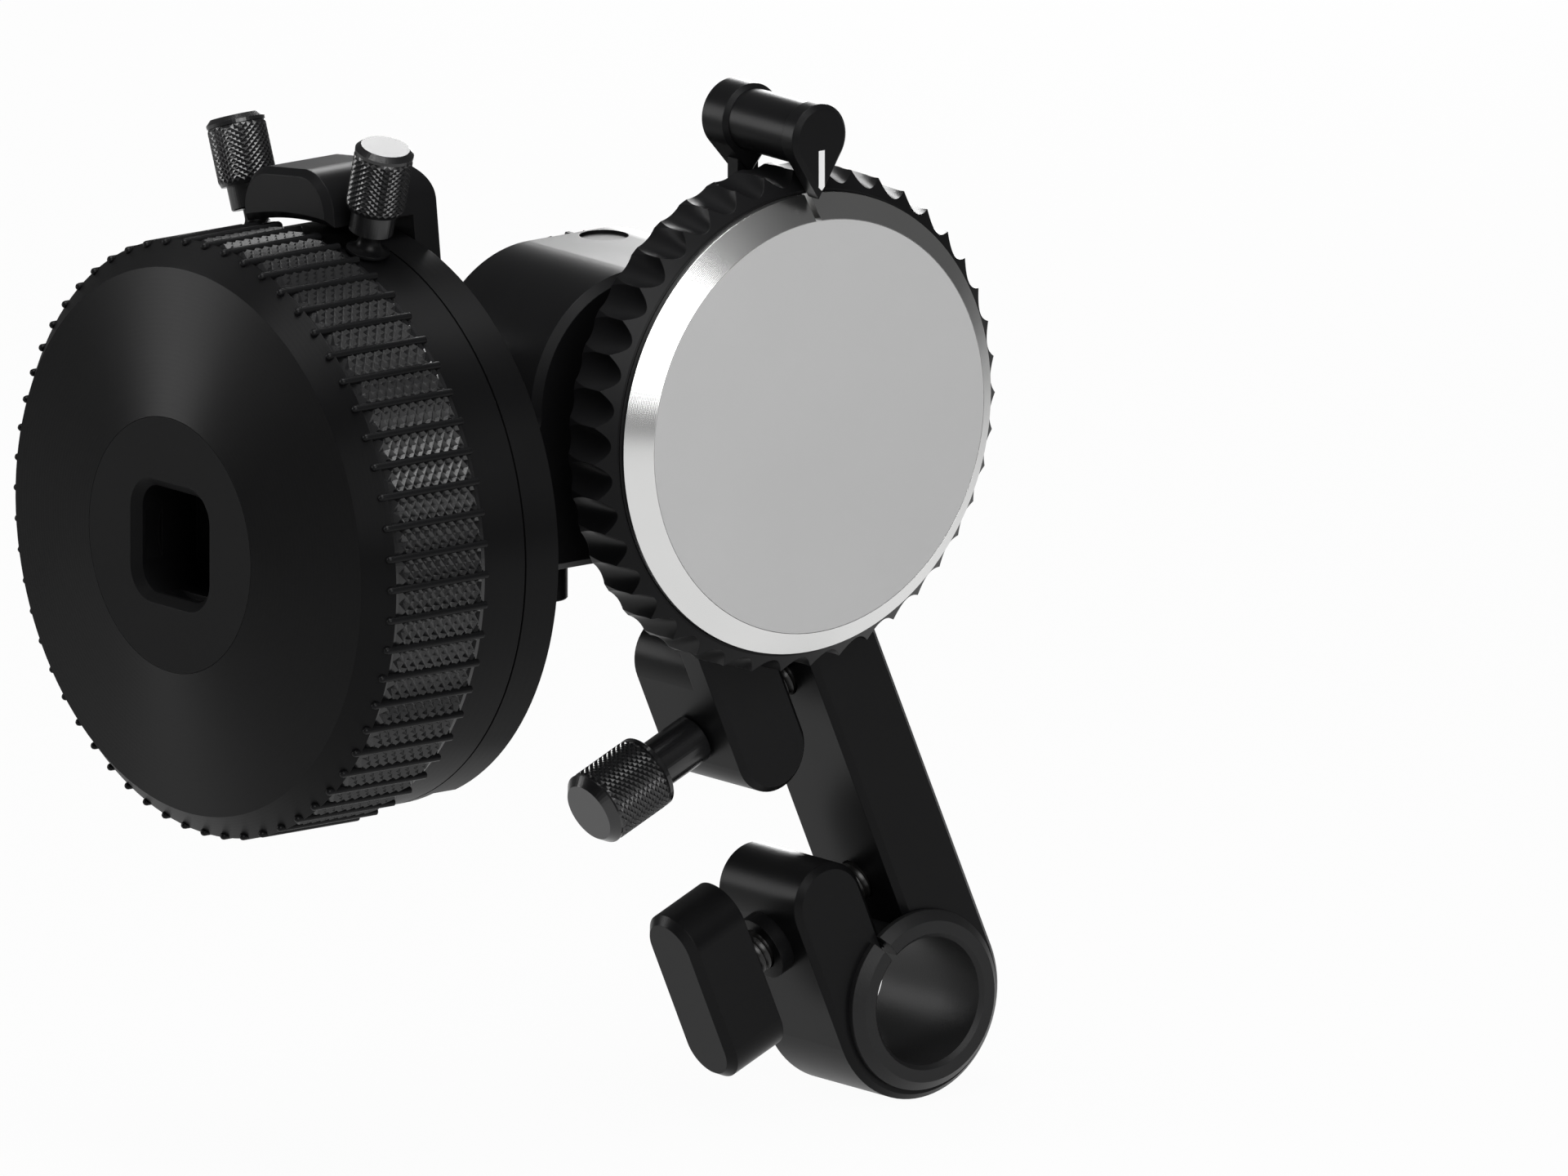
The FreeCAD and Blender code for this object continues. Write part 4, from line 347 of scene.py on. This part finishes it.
def makeGrip():
    origin = axes["wheel"]["point"]
    along = axes["wheel"]["along"]
    knurl = gripSleeve["knurl"]
    profile = [(gripSleeve["front"], gripSleeve["innerRadius"]),
               (gripSleeve["front"], knurl["radius"])]
    profile += knurlRows(knurl)
    profile += [(gripSleeve["back"], knurl["radius"]),
                (gripSleeve["back"], gripSleeve["innerRadius"])]
    sleeve = turnPiece("gripSleeve", origin, along, profile, gripSleeve["steps"])
    picked = raiseKnurl(sleeve, origin, along, knurl, gripSleeve["steps"])
    finishPiece(sleeve, "wheel", makeFinish("knurled"))
    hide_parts("wheel_grip")

    ribs = gripRibs
    length = ribs["back"] - ribs["front"]
    dome = [(ribs["dome"] * (1 - math.cos(math.radians(angle))),
             ribs["radius"] * math.sin(math.radians(angle))) for angle in ribs["domeAngles"]]
    profile = dome + [(length - ribs["endEdge"], ribs["radius"]),
                      (length, ribs["radius"] - ribs["endEdge"]), (length, 0)]
    centre = Vector(origin) + Vector((ribs["front"], 0, ribs["centre"]))
    rib = turnPiece("gripRibs", centre, along, profile, ribs["steps"], closed=False)
    bpy.ops.object.mode_set(mode="EDIT")
    bpy.ops.mesh.select_all(action="SELECT")
    bpy.ops.mesh.spin(steps=ribs["count"], dupli=True, angle=2 * math.pi,
                      center=Vector(origin) * mm, axis=along)
    weldAll()
    bpy.ops.object.mode_set(mode="OBJECT")
    finishPiece(rib, "wheel", makeFinish("anodised"), smooth=ribs["smooth"])
    print("grip:", picked, "raised points,", len(rib.data.polygons), "faces on the ribs")


# knobs of the two stops
stopKnob = {
    "place": (-77.0, 7.1, 65.17),     # on the wheel's axis, under the stops
    "leans": {"stop_a": 19.8, "stop_b": -14.5},
    "bottom": 36.85, "headBottom": 39.75, "top": 47.7,
    "collarRadius": 2.6, "collarEdge": 0.15, "boreRadius": 1.15,
    "headRadius": 3.45, "edge": 0.6, "underEdge": 0.1, "topWall": 3,
    "steps": 52,
    "knurl": {"start": 40.05, "row": 0.33, "rows": 20, "radius": 3.31, "raise": 0.14},
}


def makeStopKnobs():
    knob = stopKnob
    knurl = knob["knurl"]
    crest = knob["headRadius"]
    knurlEnd = knurl["start"] + knurl["row"] * knurl["rows"]
    profile = [
        (knob["bottom"], knob["boreRadius"]),
        (knob["bottom"], knob["collarRadius"] - knob["collarEdge"]),
        (knob["bottom"] + knob["collarEdge"], knob["collarRadius"]),
        (knob["headBottom"], knob["collarRadius"]),
        (knob["headBottom"], knurl["radius"] - knob["underEdge"]),
    ]
    profile += knurlRows(knurl)
    boreEnd = knob["top"] - knob["topWall"]
    profile += [(knurlEnd + knurlRim["gap"], crest - knurlRim["in"]),
                (knob["top"] - knob["edge"], crest),
                (knob["top"], crest - knob["edge"]), (knob["top"], 0.0),
                (boreEnd, 0.0), (boreEnd, knob["boreRadius"])]
    for name, lean in knob["leans"].items():
        turn = math.radians(lean)
        along = (0, math.sin(turn), math.cos(turn))
        piece = turnPiece(name + "_knurl", knob["place"], along, profile, knob["steps"])
        raiseKnurl(piece, knob["place"], along, knurl, knob["steps"])
        finishPiece(piece, name + "_knob", makeFinish("knurled"))
        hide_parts(name + "_knob")
    print("stops: knobs with", knob["steps"], "points round")


# screws of the two clamps
threads = {
    "pitch": 0.8, "major": 2.5, "minor": 2.02, "crest": 0.1, "steps": 28,
}
clampLean = (0.91817, 0, 0.39618)      # across the clamp arm

thumbScrew = {
    "origin": (-16.52, 0, 38.29),
    "outer": -29.0, "inner": -19.5, "collarEnd": -11.95, "end": 8.0,
    "headRadius": 4.5, "edge": 0.95, "collarRadius": 2.9, "collarEdge": 0.3,
    "innerEdge": (0.15, 0.2), "threadSunk": 0.4,
    "steps": 60,
    "knurl": {"start": -27.75, "row": 0.36, "rows": 21, "radius": 4.32, "raise": 0.18},
}
rodScrew = {"origin": (-5.43, 0, 12.58), "head": -22.9, "end": 8.0}


def makeThread(name, origin, begin, end):
    # one turn of the thread, wound along by the Screw modifier
    thread = threads
    turns = round((end - begin) / thread["pitch"])
    rise = (end - begin) / turns
    slope = (rise - thread["crest"]) / 2
    profile = [(0, thread["minor"]), (slope, thread["major"]),
               (slope + thread["crest"], thread["major"]), (rise, thread["minor"])]
    points = [Vector((radius, 0, far)) * mm for far, radius in profile]
    piece = startPoint(name, points[0])
    drawProfile(points)
    bpy.ops.object.mode_set(mode="OBJECT")
    bpy.ops.object.transform_apply(location=True, rotation=True, scale=True)
    bpy.ops.object.modifier_add(type="SCREW")
    screw = piece.modifiers[-1]
    screw.axis = "Z"
    screw.screw_offset = rise * mm
    screw.iterations = turns
    screw.steps = thread["steps"]
    screw.render_steps = thread["steps"]
    screw.use_merge_vertices = False
    bpy.ops.object.modifier_apply(modifier=screw.name)
    bpy.ops.object.mode_set(mode="EDIT")
    bpy.ops.mesh.select_all(action="SELECT")
    bpy.ops.mesh.remove_doubles(threshold=weldReach * mm)
    bpy.ops.mesh.select_mode(type="EDGE")
    bpy.ops.mesh.select_all(action="DESELECT")
    bpy.ops.mesh.select_non_manifold(extend=False, use_wire=False, use_multi_face=False,
                                     use_non_contiguous=False, use_verts=False)
    bpy.ops.mesh.fill()
    bpy.ops.mesh.select_all(action="SELECT")
    bpy.ops.mesh.normals_make_consistent(inside=False)
    bpy.ops.object.mode_set(mode="OBJECT")
    along = Vector(clampLean)
    piece.rotation_euler = along.to_track_quat("Z", "Y").to_euler()
    piece.location = (Vector(origin) + along * begin) * mm
    bpy.ops.object.transform_apply(location=True, rotation=True, scale=True)
    return piece


def makeClampScrews():
    screw = thumbScrew
    knurl = screw["knurl"]
    knurlEnd = knurl["start"] + knurl["row"] * knurl["rows"]
    crest = screw["headRadius"]
    rim = crest - knurlRim["in"]
    edgeLong, edgeDeep = screw["innerEdge"]
    profile = [
        (screw["outer"], 0.0),
        (screw["outer"], crest - screw["edge"]),
        (screw["outer"] + screw["edge"], crest),
        (knurl["start"] - knurlRim["gap"], rim),
    ]
    profile += knurlRows(knurl)
    profile += [(knurlEnd + knurlRim["gap"], rim), (screw["inner"] - edgeLong, rim),
                (screw["inner"], crest - edgeDeep),
                (screw["inner"], screw["collarRadius"]),
                (screw["collarEnd"] - screw["collarEdge"], screw["collarRadius"]),
                (screw["collarEnd"], screw["collarRadius"] - screw["collarEdge"]),
                (screw["collarEnd"], 0.0)]
    head = turnPiece("thumbScrewHead", screw["origin"], clampLean, profile, screw["steps"])
    raiseKnurl(head, screw["origin"], clampLean, knurl, screw["steps"])
    finishPiece(head, "arm_screw", makeFinish("knurled"))
    threadStart = screw["collarEnd"] - screw["threadSunk"]
    thread = makeThread("thumbScrewThread", screw["origin"], threadStart, screw["end"])
    finishPiece(thread, "arm_screw", makeFinish("oxide"))
    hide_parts("arm_thumbscrew")
    rod = makeThread("rodScrewThread", rodScrew["origin"], rodScrew["head"], rodScrew["end"])
    finishPiece(rod, "rod_knob", makeFinish("oxide"))
    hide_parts("rod_clamp_screw")
    print("clamps: threads with", len(rod.data.polygons), "faces")


# floor, lights and camera
studio = {
    "floorSize": 30.0,
    "floorColour": 0.4,
    "floorWhite": 0.96,        # share of plain white that the camera sees in the floor
    "paintedPoolCentre": (-100, -220),              # painted pool of light: glossy rays see a patch of the floor glow white here, painting reflections on the object
    "paintedPoolFade": (0.32, 0.62, 1.0, 0.12),
    "worldLight": 0.14,
    "aim": (-5.83, 10.72, 46.29),
    "toCamera": (-0.607, -0.764, 0.221),
    "distance": 900,
    "viewWide": 181.13,
    "clip": (0.1, 60),         # in metres
}

lamps = {
    "topBox": {"place": (-120, -60, 560), "size": (320, 320), "power": 3.2},
    "frontBox": {"place": (-240, -620, 330), "size": (420, 460), "power": 3.6},
    "leftBox": {"place": (-480, 470, 200), "size": (180, 300), "power": 1.6},
    "backStrip": {"place": (420, 480, 260), "size": (120, 600), "power": 2.2},
}


def seenRays(tree):
    # camera, glossy and transmission rays together; glossy rays see white only in a painted
    # pool of light round the pool centre, fading with distance
    rays = addNode(tree, "ShaderNodeLightPath", (-900, 300))
    spot = addNode(tree, "ShaderNodeTexCoord", (-1500, 0))
    away = addNode(tree, "ShaderNodeVectorMath", (-1300, 0), operation="DISTANCE")
    away.inputs[1].default_value = [value * mm for value in studio["paintedPoolCentre"]] + [0]
    tree.links.new(spot.outputs["Object"], away.inputs[0])
    pool = addNode(tree, "ShaderNodeMapRange", (-1100, 0))
    for socket, value in zip(("From Min", "From Max", "To Min", "To Max"), studio["paintedPoolFade"]):
        pool.inputs[socket].default_value = value
    tree.links.new(away.outputs["Value"], pool.inputs["Value"])
    # painted pool of light: the floor glows white for glossy rays near the pool centre only
    paintedPoolShine = addNode(tree, "ShaderNodeMath", (-750, 150), operation="MULTIPLY")
    tree.links.new(pool.outputs["Result"], paintedPoolShine.inputs[1])
    tree.links.new(rays.outputs["Is Glossy Ray"], paintedPoolShine.inputs[0])
    first = addNode(tree, "ShaderNodeMath", (-600, 300), operation="MAXIMUM")
    tree.links.new(rays.outputs["Is Camera Ray"], first.inputs[0])
    tree.links.new(paintedPoolShine.outputs["Value"], first.inputs[1])
    second = addNode(tree, "ShaderNodeMath", (-400, 300), operation="MAXIMUM")
    tree.links.new(first.outputs["Value"], second.inputs[0])
    tree.links.new(rays.outputs["Is Transmission Ray"], second.inputs[1])
    return second.outputs["Value"]


def makeStudio():
    low = cadBox[0][2]
    bpy.ops.object.select_all(action="DESELECT")
    bpy.ops.mesh.primitive_plane_add(size=studio["floorSize"], location=(0, 0, low))
    floor = bpy.context.object
    floor.name = "studioFloor"
    material = bpy.data.materials.new("studioFloor")
    material.use_nodes = True
    tree = material.node_tree
    tree.nodes.clear()
    output = addNode(tree, "ShaderNodeOutputMaterial", (600, 0))
    matt = addNode(tree, "ShaderNodeBsdfDiffuse", (0, -150))
    matt.inputs["Color"].default_value = [studio["floorColour"]] * 3 + [1]
    white = addNode(tree, "ShaderNodeEmission", (0, 50))
    share = addNode(tree, "ShaderNodeMath", (-150, 300), operation="MULTIPLY")
    share.inputs[1].default_value = studio["floorWhite"]
    tree.links.new(seenRays(tree), share.inputs[0])
    mixed = addNode(tree, "ShaderNodeMixShader", (300, 0))
    tree.links.new(share.outputs["Value"], mixed.inputs["Fac"])
    tree.links.new(matt.outputs["BSDF"], mixed.inputs[1])
    tree.links.new(white.outputs["Emission"], mixed.inputs[2])
    tree.links.new(mixed.outputs["Shader"], output.inputs["Surface"])
    floor.data.materials.append(material)

    world = bpy.data.worlds.new("studio")
    bpy.context.scene.world = world
    world.use_nodes = True
    tree = world.node_tree
    tree.nodes.clear()
    output = addNode(tree, "ShaderNodeOutputWorld", (600, 0))
    sky = addNode(tree, "ShaderNodeBackground", (300, 0))
    level = addNode(tree, "ShaderNodeMapRange", (0, 0))
    level.inputs["To Min"].default_value = studio["worldLight"]
    level.inputs["To Max"].default_value = 1.0
    rays = addNode(tree, "ShaderNodeLightPath", (-300, 0))
    tree.links.new(rays.outputs["Is Camera Ray"], level.inputs["Value"])
    tree.links.new(level.outputs["Result"], sky.inputs["Strength"])
    tree.links.new(sky.outputs["Background"], output.inputs["Surface"])

    aim = Vector(studio["aim"]) * mm
    for name, lamp in lamps.items():
        light = bpy.data.lights.new(name, "AREA")
        light.shape = "RECTANGLE"
        light.size = lamp["size"][0] * mm
        light.size_y = lamp["size"][1] * mm
        light.energy = lamp["power"]
        holder = bpy.data.objects.new(name, light)
        bpy.context.scene.collection.objects.link(holder)
        place = Vector(lamp["place"]) * mm
        holder.location = place
        holder.rotation_euler = (aim - place).to_track_quat("-Z", "Y").to_euler()

    camera = bpy.data.cameras.new("camera")
    camera.type = "ORTHO"
    camera.ortho_scale = studio["viewWide"] * mm
    camera.clip_start, camera.clip_end = studio["clip"]
    holder = bpy.data.objects.new("camera", camera)
    bpy.context.scene.collection.objects.link(holder)
    direction = Vector(studio["toCamera"]).normalized()
    holder.location = aim + direction * studio["distance"] * mm
    holder.rotation_euler = direction.to_track_quat("Z", "Y").to_euler()
    bpy.context.scene.camera = holder
    bpy.context.scene.view_settings.view_transform = "Standard"
    print("studio: floor at", round(low / mm, 2), "mm,", len(lamps), "lamps")


makeStudio()
dressNodes()
makeGrip()
makeStopKnobs()
makeClampScrews()
